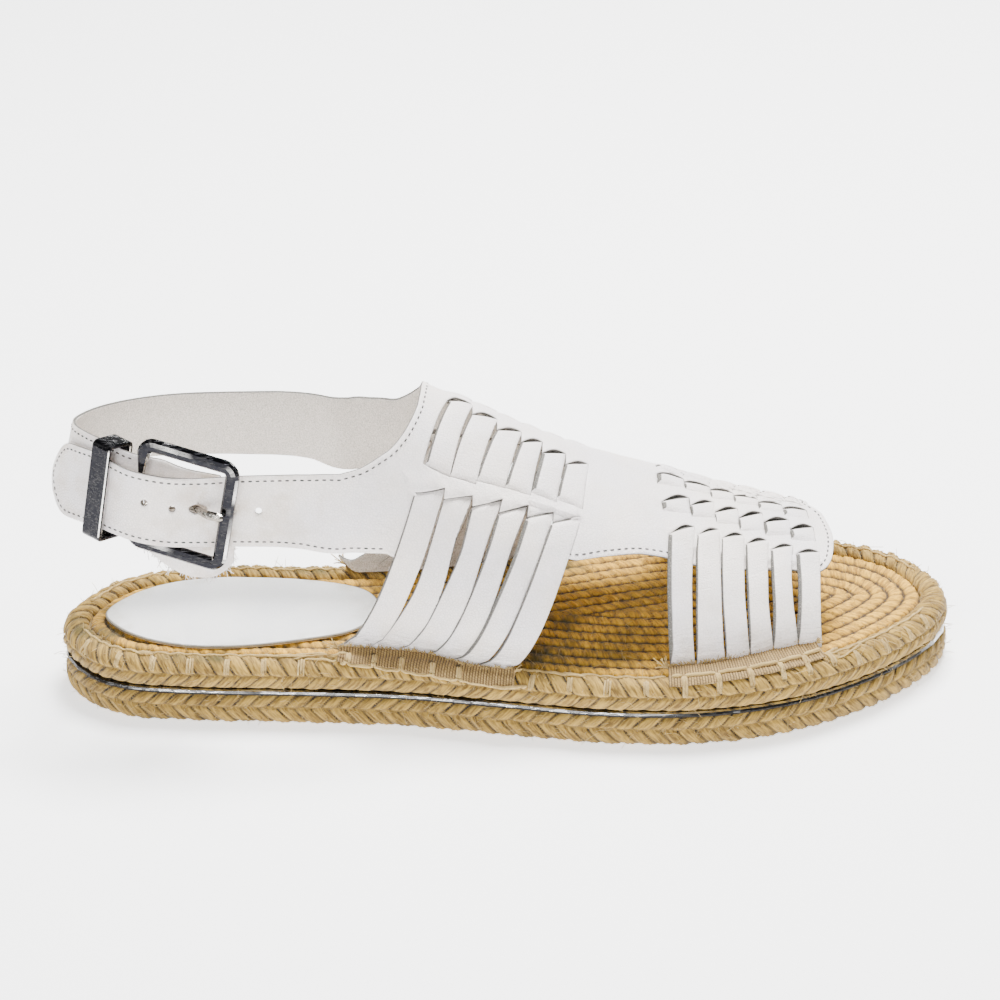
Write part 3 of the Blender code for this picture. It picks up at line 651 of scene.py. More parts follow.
UPPER_FACE = [(2.6, 11.9), (0.9, 12.7), (0.2, 14.2), (0.05, 16.0), (0.3, 18.0),
              (1.2, 19.9), (2.9, 21.0), (5.1, 21.2), (6.9, 20.5), (7.7, 19.2),
              (7.9, 18.0)]


def outline(count):
    """Points of the sole's outline and their outward directions."""
    loop = resample(catmull(SOLE_OUTLINE, 40, closed=True), count, closed=True)
    ahead, behind = np.roll(loop, -2, 0), np.roll(loop, 2, 0)
    run = unit(ahead - behind)
    return loop, np.stack([run[:, 1], -run[:, 0]], 1)


def off_outline(loop, out, inset, height):
    """Points inside the outline by inset, at a height."""
    spots = loop - out * np.asarray(inset)[..., None]
    heights = np.broadcast_to(height, spots.shape[:-1])
    return np.concatenate([spots, heights[..., None]], -1)


measured = outline(1280)[0]
perimeter = walked(np.vstack([measured, measured[:1]]))[-1]
print("outline is", round(perimeter, 1), "mm round")

# %% [markdown]
# ## Plaited jute
# A plait seen from its side shows two rows of leaning lobes that meet in a
# zigzag.  Strands made as tubes would leave gaps, so the plait is a relief: at
# each point two families of lobes, one leaning each way, are worked out, and
# the higher one wins, so the strands overlap.  The relief also says how deep a
# point lies in a crease, which the fibre effect paints darker as painted shade,
# and where it is along and across its strand.
# %% Relief of a plait
def rounded(across, power):
    """The height of a strand's round back, from 0 at its sides to 1."""
    return np.sqrt(np.clip(1 - (2 * across - 1) ** 2, 0, 1)) ** power


def lobes(along, from_middle, pitch, lean, offset, seed):
    """One family of strands: height, strand number, across and along it."""
    reach = np.clip(from_middle, -3, 40)
    turn = (along + lean * reach) / pitch + offset + 0.10 * wobble(along, seed, 37.0)
    number = np.floor(turn)
    across = turn - number
    full = rounded(across, 0.8)
    tuck = smoothstep(-1.5, 1.0, from_middle)
    size = 0.85 + 0.3 * chance(number, seed)
    ridge = np.cos(math.tau * (across * 3.6 + chance(number, seed + 1)
                               + 0.25 * wobble(from_middle, seed, 9.0)))
    height = full * size + 0.14 * ridge * full + 0.25 * (across - 0.5)
    height = height * tuck - 1.1 * (1 - tuck)
    return height, number, across, reach * math.hypot(1, lean), full


def plait(along, from_middle, pitch, leans, seed):
    """Relief and strand values of a plait whose middle line is at zero."""
    rounds = max(round(perimeter / pitch), 1)
    pitch = perimeter / rounds
    above = lobes(along, from_middle, pitch, leans[0], 0.0, seed)
    below = lobes(along, -from_middle, pitch, leans[1], 0.5, seed + 5)
    top = above[0] >= below[0]
    height, number, across, run, full = (np.where(top, a, b) for a, b in zip(above, below))
    number = number * 2 + top
    # painted shade: where the lobes dip between strands the jute is painted darker
    crease_shade = np.clip(1.0 - full * 1.15, 0, 1) ** 1.2
    strand = np.stack([run, across * pitch * 0.75, number * 7.31], -1)
    return height, crease_shade, strand


RING_DEPTH = 12.0        # how far a layer's ring reaches inwards, mm


def plait_ring(name, face, middle, amount, pitch, leans, seed, stations, rows, worn):
    """A closed ring of plaited jute laid along the outline."""
    loop, out = outline(stations)
    profile = resample(catmull(face, 10), rows)
    run = unit(np.gradient(profile, axis=0))
    away = run[:, ::-1]                              # outwards and upwards
    far = walked(profile)
    from_middle = far - far[np.argmin(np.abs(far - middle))]
    along = np.arange(stations) * perimeter / stations
    U, V = np.meshgrid(along, from_middle, indexing="ij")
    height, crease_shade, strand = plait(U, V, pitch, leans, seed)
    ease = np.minimum(smoothstep(0, 3.2, far), smoothstep(far[-1], far[-1] - 1.2, far))
    rise = (height - 0.75) * amount * ease + 0.12 * wobble(U, seed + 9, 23.0) * ease
    inset = profile[:, 0] - rise * away[:, 0]
    level = profile[:, 1] + rise * away[:, 1]
    back = (stations, 2)                             # two points close the ring inside
    inset = np.hstack([inset, np.full(back, RING_DEPTH)])
    level = np.hstack([level, np.broadcast_to((face[-1][1], face[0][1]), back)])
    pad = ((0, 0), (0, 2))
    points = off_outline(loop[:, None, :], out[:, None, :], inset, level)
    faces = grid_faces(stations, rows + 2, True, True)[:, ::-1]
    values = {"crease_shade": np.pad(crease_shade, pad, mode="edge").ravel(),
              "worn": worn(points).ravel(),
              "strand": np.pad(strand, (*pad, (0, 0)), mode="edge").reshape(-1, 3)}
    return piece(name, (points.reshape(-1, 3), faces, values), PLAIT_JUTE)


LOWER_STATIONS, UPPER_STATIONS = ((1260, 1340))
lower_plait = plait_ring(
    "lower_plait", LOWER_FACE, 8.3, 1.1, 5.3, (-0.95, -0.8), 3, LOWER_STATIONS, 27,
    lambda p: smoothstep(3.0, 0.5, p[..., 2]) * 0.7)
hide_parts("lower_sole")
upper_plait = plait_ring(
    "upper_plait", UPPER_FACE, 6.2, 1.05, 5.4, (0.62, 0.95), 17, UPPER_STATIONS, 42,
    lambda p: smoothstep(20.0, 21.5, p[..., 2]) * smoothstep(60, -20, p[..., 0]))
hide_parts("upper_sole")

# %% [markdown]
# ## The coiled footbed
# The inside of the sole is one long plait wound in from the rim, a nest of
# evenly spaced rings.  The footbed is therefore a fine grid over the sole: the
# distance to the outline says which ring a point is on, and the nearest place
# on that ring's own middle line says how far along it lies.
# %% Distance to the outline and the rings
COIL_START, COIL_PITCH = 8.1, 5.0
CELL = 0.62
edge_points, edge_out = outline(1400)


def nearest(points, targets):
    """Index of the nearest target to each point, and its distance."""
    index, distance = [], []
    for start in range(0, len(points), 4000):
        part = points[start:start + 4000]
        gap = ((part[:, None, 0] - targets[None, :, 0]) ** 2
               + (part[:, None, 1] - targets[None, :, 1]) ** 2)
        best = gap.argmin(1)
        index.append(best)
        distance.append(np.sqrt(gap[np.arange(len(part)), best]))
    return np.concatenate(index), np.concatenate(distance)


GX, GY = np.meshgrid(np.arange(-130.0, 130.0, CELL), np.arange(-44.0, 44.0, CELL),
                     indexing="ij")
flat = np.stack([GX.ravel(), GY.ravel()], 1)
near_edge, depth = nearest(flat, edge_points)
is_inside = ((flat - edge_points[near_edge]) * edge_out[near_edge]).sum(1) < 0
depth = np.where(is_inside, depth, -depth)
corner = (depth > COIL_START - 0.02).reshape(GX.shape)
near_corner = np.zeros_like(corner)
for dx in (-1, 0, 1):
    for dy in (-1, 0, 1):
        near_corner |= np.roll(corner, (dx, dy), (0, 1))
near_corner = near_corner.ravel()
snap = near_corner & ~corner.ravel()
flat[snap] = edge_points[near_edge[snap]] - edge_out[near_edge[snap]] * COIL_START
depth[snap] = COIL_START
print("footbed grid:", corner.sum(), "points inside")


# %% Relief of the coil and its solid
def coil_relief(flat, depth):
    """Height, crease and strand values of the wound plait."""
    ring = np.floor((depth - COIL_START) / COIL_PITCH + 1e-6)
    across = (depth - COIL_START) / COIL_PITCH - ring
    along = np.zeros(len(flat))
    for k in range(int(ring.max()) + 1):
        middle = COIL_START + (k + 0.5) * COIL_PITCH
        line = edge_points - edge_out * middle
        true_depth = nearest(line, edge_points)[1]
        line = line[true_depth > middle - 0.12]
        mine = np.nonzero(ring == k)[0]
        if not len(line) or not len(mine):
            continue
        steps = np.linalg.norm(np.diff(line, axis=0), axis=1)
        far = np.concatenate([[0], np.cumsum(np.minimum(steps, 6.0))])
        spot = nearest(flat[mine], line)[0]
        run = line[(spot + 1) % len(line)] - line[spot - 1]
        along[mine] = far[spot] + ((flat[mine] - line[spot]) * unit(run)).sum(1) + k * 1.7
    turn = (along + 2.4 * across + 0.5 * wobble(along, 4, 31.0)) / 3.9
    number = np.floor(turn)
    inside = turn - number
    full, crown = rounded(inside, 0.8), rounded(across, 0.9)
    number = number + ring * 131
    ridge = np.cos(math.tau * (inside * 3.2 + chance(number, 8)))
    height = crown * (0.62 + 0.38 * full) * (0.9 + 0.2 * chance(number, 2)) \
        + 0.07 * ridge * crown
    # painted shade: between the rings and between the strands the coil is painted darker
    crease_shade = np.clip(1.12 - crown * (0.45 + 0.6 * full), 0, 1) ** 1.6
    strand = np.stack([across * COIL_PITCH * 1.3, inside * 3.4, number * 7.31], 1)
    return height, crease_shade, strand


COIL_RISE, COIL_TOP, COIL_BOTTOM = 1.75, 20.35, 17.6
height, crease_shade, strand = coil_relief(flat, depth)
level = COIL_TOP - COIL_RISE + height * COIL_RISE
level += 0.22 * wobble(flat[:, 0], 5, 61.0) * wobble(flat[:, 1], 6, 47.0)
rim = COIL_BOTTOM + 0.3              # the coil starts this high at its outer edge
level = rim + (level - rim) * smoothstep(COIL_START, COIL_START + 0.8, depth)

i, j = np.nonzero(corner[:-1, :-1] | corner[1:, :-1] | corner[:-1, 1:] | corner[1:, 1:])
first, row = i * GX.shape[1] + j, GX.shape[1]
quads = np.stack([first, first + row, first + row + 1, first + 1], 1)
kept, quads = renumber(quads[near_corner[quads].all(1)])
top_points = np.column_stack([flat[kept], level[kept]])
low_points = np.column_stack([flat[kept], np.full(len(kept), COIL_BOTTOM)])
edges = np.concatenate([quads[:, [k, (k + 1) % 4]] for k in range(4)])
key = edges.min(1) * len(kept) + edges.max(1)
_, first, uses = np.unique(key, return_index=True, return_counts=True)
a, b = edges[first[uses == 1]].T
walls = np.stack([b, a, a + len(kept), b + len(kept)], 1)
worn = smoothstep(75, 10, flat[kept, 0]) * 0.9
footbed_coil = piece(
    "footbed_coil",
    (np.vstack([top_points, low_points]),
     np.concatenate([quads, quads[:, ::-1] + len(kept), walls]),
     {"crease_shade": np.tile(crease_shade[kept], 2), "worn": np.tile(worn, 2),
      "strand": np.tile(strand[kept], (2, 1))}), COIL_JUTE)
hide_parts("footbed")

# %% [markdown]
# ## The heel sock
# A thin, foam-backed leather sock is glued over the coil at the heel.  It
# follows the coil softly, rounds off at its edge and carries one crease.
# Rings that shrink towards its middle give it an even mesh and a soft edge.
# %% Sock rings
SOCK_OUTLINE = [
    (-123.0, 1.0), (-117.0, -9.0), (-106.0, -16.5), (-92.0, -20.5),
    (-76.0, -20.3), (-61.0, -17.5), (-48.0, -13.5), (-41.0, -7.0),
    (-38.5, 1.5), (-41.0, 10.0), (-48.0, 15.5), (-61.0, 19.5),
    (-76.0, 21.8), (-92.0, 22.3), (-106.0, 19.0), (-117.0, 11.5)]
sock_loop = resample(catmull(SOCK_OUTLINE, 12, closed=True), 220, closed=True)
sock_middle = np.array([-81.0, 1.0])
SOCK_LOW, SOCK_HIGH, SOCK_RINGS = 20.75, 21.75, 34
shares = [1.0, 1.0, 0.993, 0.98, 0.96] + list(np.linspace(0.93, 0.03, SOCK_RINGS))
lifts = [0.0, 0.55, 0.85, 0.97, 1.0] + [1.0] * SOCK_RINGS
sock_points, sock_cut = [], []
for share, lift in zip(shares, lifts):
    x, y = (sock_middle + (sock_loop - sock_middle) * share).T
    soft = 0.10 * wobble(x, 21, 26.0) + 0.10 * wobble(y, 22, 19.0)
    crease_line = -0.22 * np.exp(-((x + 97.5 + 0.12 * (y + 12)) / 0.5) ** 2) * smoothstep(
        -4, -10, y)
    z = SOCK_LOW + (SOCK_HIGH - SOCK_LOW) * lift + (soft + crease_line) * (lift >= 0.97)
    sock_points.append(np.column_stack([x, y, z]))
    sock_cut.append(np.full(len(x), 0.9 if 0 < lift < 0.9 else 0.0))
count = len(sock_loop)
faces = grid_faces(len(shares), count, wrap_columns=True).tolist()
faces.append([(len(shares) - 1) * count + k for k in range(count)])
faces.append(list(range(count))[::-1])
all_sock = np.vstack(sock_points)
plain = np.zeros(len(all_sock))
sock_values = {"cut": np.concatenate(sock_cut), "inside": plain, "creased": plain,
               "soiled": smoothstep(0.75, 1.0, np.repeat(shares, count)) * 0.5,
               "strand": all_sock}
heel_sock = piece("heel_sock_soft", (all_sock, faces, sock_values), LINING_LEATHER)
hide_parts("heel_sock")

# %% [markdown]
# ## The shape the leather lies on
# All the leather rests on one smooth body, the shape of a foot.  A point on
# it has two numbers: how far along the shoe it is, and an angle round the
# foot, 0 at the outer sole, 90 at the ridge and 180 at the inner sole.  Every
# strip and slit is drawn in these two numbers and then laid on the body.
# %% Foot body
FOOT_SECTIONS = np.array([
    # x, ridge y, ridge z, outer foot y, inner foot y, bulge, fullness
    (-50, 1.0, 128.0, -25.0, 23.0, 4.2, 2.80),
    (-40, 1.2, 115.0, -26.0, 23.3, 3.6, 2.60),
    (-30, 1.5, 103.0, -27.5, 24.0, 2.6, 2.40),
    (-22, 2.0, 95.7, -29.5, 24.8, 1.8, 2.20),
    (-10, 3.0, 89.5, -34.5, 27.0, 1.0, 2.10),
    (5, 4.5, 80.5, -38.5, 30.5, 0.5, 2.10),
    (20, 6.0, 72.6, -40.0, 33.5, 0.0, 2.10),
    (35, 7.5, 66.0, -40.0, 36.5, 0.0, 2.20),
    (50, 9.0, 60.3, -39.0, 38.5, 0.0, 2.20),
    (65, 10.0, 54.2, -37.2, 38.5, 0.0, 2.25),
    (80, 10.5, 49.2, -32.5, 37.0, 0.0, 2.30),
    (92, 11.0, 46.3, -29.3, 34.5, 0.0, 2.35),
    (104, 11.0, 44.0, -27.0, 31.0, 0.0, 2.40)])
FOOT_BASE = 21.9
TURN_SIZE = 0.95         # about how many millimetres one degree is, drawn flat


def foot(x, turn):
    """Points of the foot body at x and at an angle, both arrays."""
    x, turn = np.broadcast_arrays(np.asarray(x, float), np.asarray(turn, float))
    rows = FOOT_SECTIONS
    at = np.clip(x, rows[0, 0], rows[-1, 0])
    i = np.clip(np.searchsorted(rows[:, 0], at, side="right") - 1, 0, len(rows) - 2)
    before, after = np.maximum(i - 1, 0), np.minimum(i + 2, len(rows) - 1)
    gap = rows[i + 1, 0] - rows[i, 0]
    t = ((at - rows[i, 0]) / gap)[..., None]
    gap = gap[..., None]
    slope0, slope1 = ((rows[b, 1:] - rows[a, 1:]) / (rows[b, 0] - rows[a, 0])[..., None]
                      * gap for a, b in ((before, i + 1), (i, after)))
    value = ((2 * t ** 3 - 3 * t * t + 1) * rows[i, 1:]
             + (3 * t * t - 2 * t ** 3) * rows[i + 1, 1:]
             + (t ** 3 - 2 * t * t + t) * slope0 + (t ** 3 - t * t) * slope1)
    ridge_y, ridge_z, outer, inner, bulge, full = np.moveaxis(value, -1, 0)
    angle = np.radians(turn)
    side = np.where(turn <= 90, outer, inner)
    across = np.abs(np.cos(angle)) ** (2 / full)
    rise = np.minimum(np.abs(np.sin(angle)) ** (2 / full), 1.0)
    swell = np.sign(side) * bulge * np.sin(math.pi * rise)
    return np.stack([x, ridge_y + (side - ridge_y) * across + swell,
                     FOOT_BASE + (ridge_z - FOOT_BASE) * rise], -1)


print("ridge at the collar:", foot(-22.7, 90).round(1))

# %% [markdown]
# ## The two ankle straps
# Past the collar the leather leaves the foot and becomes two straps that run
# back round the heel.  Each strap is a ribbon along a smooth path, with a
# half width and a lean.  To keep it one sheet with the collar, the flat
# drawing carries on: behind a joining line, its first number becomes the
# distance along the strap, and its second the place across it.
# %% Strap paths as part of the flat drawing
STRAP_JOIN = -46.4
STRAP_LOW, STRAP_HIGH = 13.3, 30.0
OUTER_STRAP = [
    # x, y, middle z, half width, lean
    (-62.0, -28.6, 71.2, 11.8, 4), (-76.0, -28.9, 71.6, 11.4, 4),
    (-88.0, -29.3, 71.6, 11.1, 4), (-98.0, -29.9, 72.4, 11.1, 4),
    (-106.5, -29.0, 73.9, 11.1, 5), (-112.5, -25.3, 74.5, 11.2, 7),
    (-118.5, -19.3, 74.6, 11.3, 11), (-124.3, -14.8, 74.4, 11.3, 13),
    (-129.6, -9.2, 73.6, 10.6, 15), (-132.6, -4.6, 72.6, 6.4, 15),
    (-134.2, -0.8, 71.6, 1.4, 15)]
INNER_STRAP = [
    (-62.0, 28.6, 71.4, 11.8, 4), (-80.0, 29.2, 72.0, 11.4, 5),
    (-98.0, 27.2, 73.0, 11.4, 8), (-112.0, 22.0, 74.4, 11.4, 12),
    (-123.0, 13.6, 76.0, 11.4, 15), (-129.0, 3.6, 77.2, 11.4, 16),
    (-128.4, -5.2, 78.0, 11.4, 15), (-122.8, -12.6, 78.2, 11.4, 13),
    (-117.0, -16.9, 77.8, 11.4, 11), (-111.0, -20.8, 76.6, 11.5, 7),
    (-107.0, -21.9, 75.0, 12.5, 5), (-102.6, -22.3, 72.6, 13.9, 4),
    (-95.0, -23.9, 68.4, 15.8, 4), (-87.0, -24.4, 64.6, 17.0, 4),
    (-80.6, -24.4, 63.2, 14.2, 4), (-77.8, -24.4, 62.8, 9.4, 4)]


def strap_path(rows, side):
    """Distances, middle points and half-width vectors along a strap."""
    low = foot(-46.6, STRAP_LOW if side < 0 else 180 - STRAP_LOW)
    high = foot(-46.2, STRAP_HIGH if side < 0 else 180 - STRAP_HIGH)
    middle, rise = (low + high) / 2, high - low
    lean = math.degrees(math.atan2(-side * rise[1], rise[2]))
    table = [(*middle, np.linalg.norm(rise) / 2, lean)] + rows
    path = catmull(table, 12)
    spot = path[:, :3]
    run = np.gradient(spot, axis=0)
    level = unit(run * (1, 1, 0))
    inward = np.cross((0, 0, 1), level) * side
    up = unit(np.array([0, 0, 1]) - level * (run[:, 2] / np.linalg.norm(
        run[:, :2], axis=1))[:, None])
    tilt = np.radians(path[:, 4])[:, None]
    across = up * np.cos(tilt) + inward * np.sin(tilt)
    return walked(spot), spot, across * path[:, 3:4]


STRAP_PATHS = {-1: strap_path(OUTER_STRAP, -1), 1: strap_path(INNER_STRAP, 1)}


def lay(u, w):
    """Points for the flat drawing's two numbers: foot body, then straps."""
    u, w = np.broadcast_arrays(np.asarray(u, float), np.asarray(w, float))
    made = foot(np.maximum(u, STRAP_JOIN), w)
    made[..., 0] = u
    for side, (far, spot, half) in STRAP_PATHS.items():
        mine = (u < STRAP_JOIN) & ((w < 90) if side < 0 else (w > 90))
        if not mine.any():
            continue
        away = STRAP_JOIN - u[mine]
        turn = w[mine] if side < 0 else 180 - w[mine]
        share = 2 * (turn - STRAP_LOW) / (STRAP_HIGH - STRAP_LOW) - 1
        at = read_at(away, far, spot) + share[:, None] * read_at(away, far, half)
        ease = smoothstep(0.0, 12.0, away)[:, None]
        made[mine] = made[mine] * (1 - ease) + at * ease
    return made


def shifts(u, w, step):
    """How points move when each number goes from a step below to one above."""
    return lay(u + step, w) - lay(u - step, w), lay(u, w + step) - lay(u, w - step)


def outward(u, w):
    """Outward direction of the leather at points of the flat drawing."""
    return unit(np.cross(*shifts(u, w, 0.6)))


STRAP_ENDS = {side: STRAP_JOIN - path[0][-1] for side, path in STRAP_PATHS.items()}
print("strap ends in the drawing:", {k: round(v, 1) for k, v in STRAP_ENDS.items()})

# %% [markdown]
# ## The plan of the weave
# The vamp is one sheet with rows of slits.  Leather strips come up from the
# sole and go under, over and under it.  On the instep six strips a side pass
# under a narrow bar, run up over the vamp and dive into half-moon slits near
# the ridge.  At the toe six more pass three rows of half-moons.  The inner
# side is the outer side's plan, folded over at the middle line and squeezed a
# little, because that side of a foot is shorter.
# %% Slits, windows and edges of the outer side
RIBS = [                 # where each strip's edge is at the sole and at the ridge
    (-49.0, -15.5), (-41.3, -8.3), (-32.9, -1.2), (-24.3, 5.8), (-16.2, 12.3),
    (-8.0, 19.2), (1.0, 27.5), (49.5, 47.0), (56.9, 55.0), (65.8, 63.0), (73.0, 70.4),
    (80.0, 78.0), (87.5, 85.4), (94.5, 93.0)]
INSTEP_ZIGZAG = [
    # left, middle and right of each strip's slit under the bar
    ((-24.8, 40.8), (-20.4, 44.0), (-16.0, 47.2)),
    ((-16.3, 43.6), (-12.1, 46.0), (-8.1, 48.4)),
    ((-8.1, 45.0), (-3.6, 48.2), (0.5, 51.6)), ((-0.4, 46.7), (3.9, 50.1), (8.0, 53.2)),
    ((7.7, 48.8), (11.7, 52.1), (15.5, 54.3)), ((15.4, 50.4), (19.2, 53.3), (23.4, 55.9))]
INSTEP_FAINT = [         # the plain lower edge of each strip's upper window
    ((-22.3, 51.6), (-14.6, 51.5)), ((-14.6, 51.6), (-7.0, 52.8)),
    ((-7.0, 54.1), (1.4, 56.3)), ((1.4, 56.5), (9.0, 57.7)),
    ((9.0, 58.9), (16.5, 58.9)), ((16.5, 60.0), (24.2, 59.6))]
INSTEP_MOONS = [
    ((-15.3, 86.8), (-11.9, 92.0), (-8.1, 91.6)),
    ((-8.1, 83.4), (-4.7, 88.3), (-0.9, 89.0)),
    ((-0.9, 81.1), (2.9, 86.3), (6.3, 88.0)), ((6.2, 80.6), (9.5, 85.6), (12.5, 87.0)),
    ((12.4, 79.6), (15.9, 84.1), (19.5, 85.2)), ((19.3, 78.4), (23.1, 82.6), (26.2, 83.8))]
TOE_MOONS = [
    # the row nearest the ridge first
    [((47.0, 91.0), (51.0, 95.6), (55.2, 94.0)), ((55.1, 90.4), (59.4, 95.4), (63.2, 94.0)),
     ((63.1, 90.6), (66.9, 95.6), (70.4, 95.0)), ((70.3, 91.4), (74.3, 96.0), (78.0, 95.2)),
     ((77.8, 91.0), (81.6, 95.6), (85.3, 94.6)), ((85.3, 90.2), (89.2, 94.6), (92.9, 93.0))],
    [((47.9, 74.2), (52.8, 80.8), (56.4, 81.5)), ((56.6, 77.1), (60.8, 82.7), (63.8, 83.8)),
     ((63.7, 77.0), (68.0, 82.8), (71.2, 83.7)), ((71.2, 77.5), (75.5, 83.8), (78.8, 84.7)),
     ((78.7, 78.1), (83.0, 83.8), (86.8, 83.6)), ((86.6, 76.3), (91.0, 81.9), (94.2, 80.8))],
    [((49.6, 57.6), (54.0, 64.4), (57.4, 65.5)), ((58.3, 61.4), (61.9, 66.7), (64.8, 67.7)),
     ((65.7, 63.1), (69.4, 67.7), (72.2, 67.3)), ((72.8, 62.1), (76.6, 67.3), (79.5, 66.7)),
     ((80.3, 60.9), (84.2, 65.8), (87.2, 65.1)), ((87.9, 60.0), (91.7, 64.1), (95.2, 62.8))]]
TOE_FAINT = [
    [((46.9, 84.1), (55.4, 87.0)), ((55.8, 86.2), (63.3, 88.0)),
     ((63.7, 86.2), (70.5, 88.4)), ((70.7, 86.9), (77.9, 89.0)),
     ((78.1, 86.6), (85.8, 88.4)), ((85.9, 85.6), (93.3, 86.6))],
    [((48.2, 69.3), (56.7, 72.6)), ((57.0, 70.9), (64.2, 74.4)),
     ((64.3, 71.2), (71.2, 73.6)), ((71.4, 70.0), (79.0, 73.6)),
     ((79.2, 70.1), (87.0, 72.8)), ((87.0, 69.5), (94.4, 70.6))]]
COLLAR_EDGE = [(-22.7, 96.0), (-22.9, 90.0), (-23.3, 81.0), (-24.2, 72.0), (-27.0, 60.0),
               (-30.7, 50.0), (-34.8, 42.8), (-40.1, 35.4), (-46.4, 29.3)]
FOLD_TURN = 96.0         # the plan's middle line, an angle on the foot
INNER_EDGES = [
    # x at the vamp's outer edge, its outer angle, its inner angle
    (-60.0, 16, 164), (-46.4, 17, 163), (-33.0, 20, 160), (1.0, 41, 139), (22.0, 42, 138),
    (38.0, 45, 135), (52.0, 46, 133), (70.0, 48, 129), (96.0, 51, 124)]


def inner_turn(x, turn):
    """The inner side's angle for an angle of the outer side's plan."""
    places, *angles = np.array(INNER_EDGES, float).T
    outer, inner = (np.interp(x, places, row) for row in angles)
    above = FOLD_TURN + (FOLD_TURN - turn) * (inner - FOLD_TURN) / (FOLD_TURN - outer)
    below = inner + (outer - turn) * (180 - inner) / outer
    return np.where(turn >= outer, above, below)


def rib_x(rib, turn):
    """Where along the shoe a strip's edge is at an angle."""
    sole_x, ridge_x = RIBS[rib]
    rise = np.abs(np.sin(np.radians(turn))) ** 0.85
    share = min(max((sole_x + 49.0) / 50.0, 0.0), 1.0)       # from heel to waist
    curl = np.sqrt(rise) * (1 - rise) ** 2 * (0.60 + (0.38 - 0.60) * share) * (
        ridge_x > sole_x)
    return sole_x + (ridge_x - sole_x) * (rise + curl)


def curve(points, count):
    """A smooth drawn line through a few points, evenly spaced."""
    drawn = catmull(points, 10)
    far = walked(drawn * (1, TURN_SIZE))
    return read_at(np.linspace(0, far[-1], count), far, drawn)


print("slits a side:", len(INSTEP_ZIGZAG) + len(INSTEP_MOONS) + sum(map(len, TOE_MOONS)))

# %% [markdown]
# ## Sheets with thickness
# Leather is a sheet of even thickness whose cut edges are dry and slightly
# rounded.  `thicken` takes a sheet of points with their outward directions,
# sets one copy outside and one inside, pulls both back a little at the edges
# and closes the gap with three rows of faces.  Points at the edge are marked
# as cut, and those of the inner copy as inside.
# %% Thicken a sheet
def edge_loops(faces):
    """Directed edges that only one face has, as (from, to) pairs."""
    size = faces.shape[1]
    pairs = np.concatenate([faces[:, [k, (k + 1) % size]] for k in range(size)])
    top = int(faces.max()) + 1
    forward = pairs[:, 0].astype(np.int64) * top + pairs[:, 1]
    backward = pairs[:, 1].astype(np.int64) * top + pairs[:, 0]
    return pairs[~np.isin(forward, backward)]


LIP_SLIDE = 0.3          # how much of a slanted cut's slide its lip still has


def thicken(points, normals, faces, thickness, values, rounding=0.28, slide=None):
    """A closed solid from a sheet; slide moves its upper face for a slanted cut."""
    rim = edge_loops(faces)
    a, b = rim.T
    count = len(points)
    run = points[b] - points[a]
    inward = np.zeros_like(points)
    np.add.at(inward, a, unit(np.cross(normals[a], run)))
    np.add.at(inward, b, unit(np.cross(normals[b], run)))
    half = thickness / 2
    border, (first, second) = renumber(rim.T)
    on_rim = np.zeros((count, 1))
    on_rim[border] = 1.0
    pull = unit(inward) * on_rim * rounding
    slide = np.zeros((count, 3)) if slide is None else slide
    top = points + normals * half + pull + slide
    low = points - normals * half + pull
    upper_lip = points[border] + normals[border] * (half - rounding) \
        + slide[border] * LIP_SLIDE
    lower_lip = points[border] - normals[border] * (half - rounding)
    base_up, base_low = 2 * count, 2 * count + len(border)
    lines = [(b, a), (second + base_up, first + base_up),
             (second + base_low, first + base_low), (b + count, a + count)]
    bands = [np.stack([*upper, *lower[::-1]], 1) for upper, lower in zip(lines, lines[1:])]
    all_points = np.vstack([top, low, upper_lip, lower_lip])
    if faces.shape[1] == 3:
        bands = [split_quads(band) for band in bands]
    all_faces = np.vstack([faces, faces[:, ::-1] + count] + bands)
    index = np.concatenate([np.arange(count), np.arange(count), border, border])
    made = {key: np.asarray(row, float)[index] for key, row in values.items()}
    made["inside"] = np.concatenate([np.zeros(count), np.ones(count),
                                     np.zeros(2 * len(border))])
    cut = made.get("cut", np.zeros(len(index)))
    cut[2 * count:] = np.maximum(cut[2 * count:], 0.5 + 0.5 * np.tile(
        np.linalg.norm(slide[border], axis=1) > 0.1, 2))
    cut[2 * count + len(border):] = 1.0
    made["cut"] = cut
    return all_points, all_faces, made


def join(parts):
    """Several solids as one."""
    points, faces, values = zip(*parts)
    starts = np.cumsum([0] + [len(rows) for rows in points[:-1]])
    return (np.vstack(points), np.vstack([f + at for f, at in zip(faces, starts)]),
            {key: np.concatenate([rows[key] for rows in values]) for key in values[0]})


print("thicken ready")

# %% [markdown]
# ## Cutting the vamp from its plan
# The vamp's edge and its windows are closed lines in the flat drawing.  It is
# filled with evenly spaced points, and a Delaunay triangulation joins them
# without crossing an edge.  Triangles inside a window are thrown away, so the
# slits are real openings.  The flat pattern is then laid on the foot body, as
# a shoemaker's upper gets its shape.
# %% Outline and windows in the drawing
UNDERLAP = 3.2           # how far the sheet goes on beneath a strip


TOE_EDGE = [             # beneath the toe strips, heel side first
    (22.3, 38.9), (30.5, 42.6), (39.4, 46.2), (44.5, 47.0), (50.3, 47.1),
    (56.9, 47.2), (65.8, 48.0), (73.0, 49.0), (80.0, 50.0), (87.5, 51.0)]
FRONT_EDGE = [(87.5, 51.0), (92.0, 50.4), (95.6, 51.2), (97.7, 55.0), (99.2, 62.5),
              (99.9, 73.8), (99.5, 81.5), (98.4, 88.5), (96.2, 96.0)]


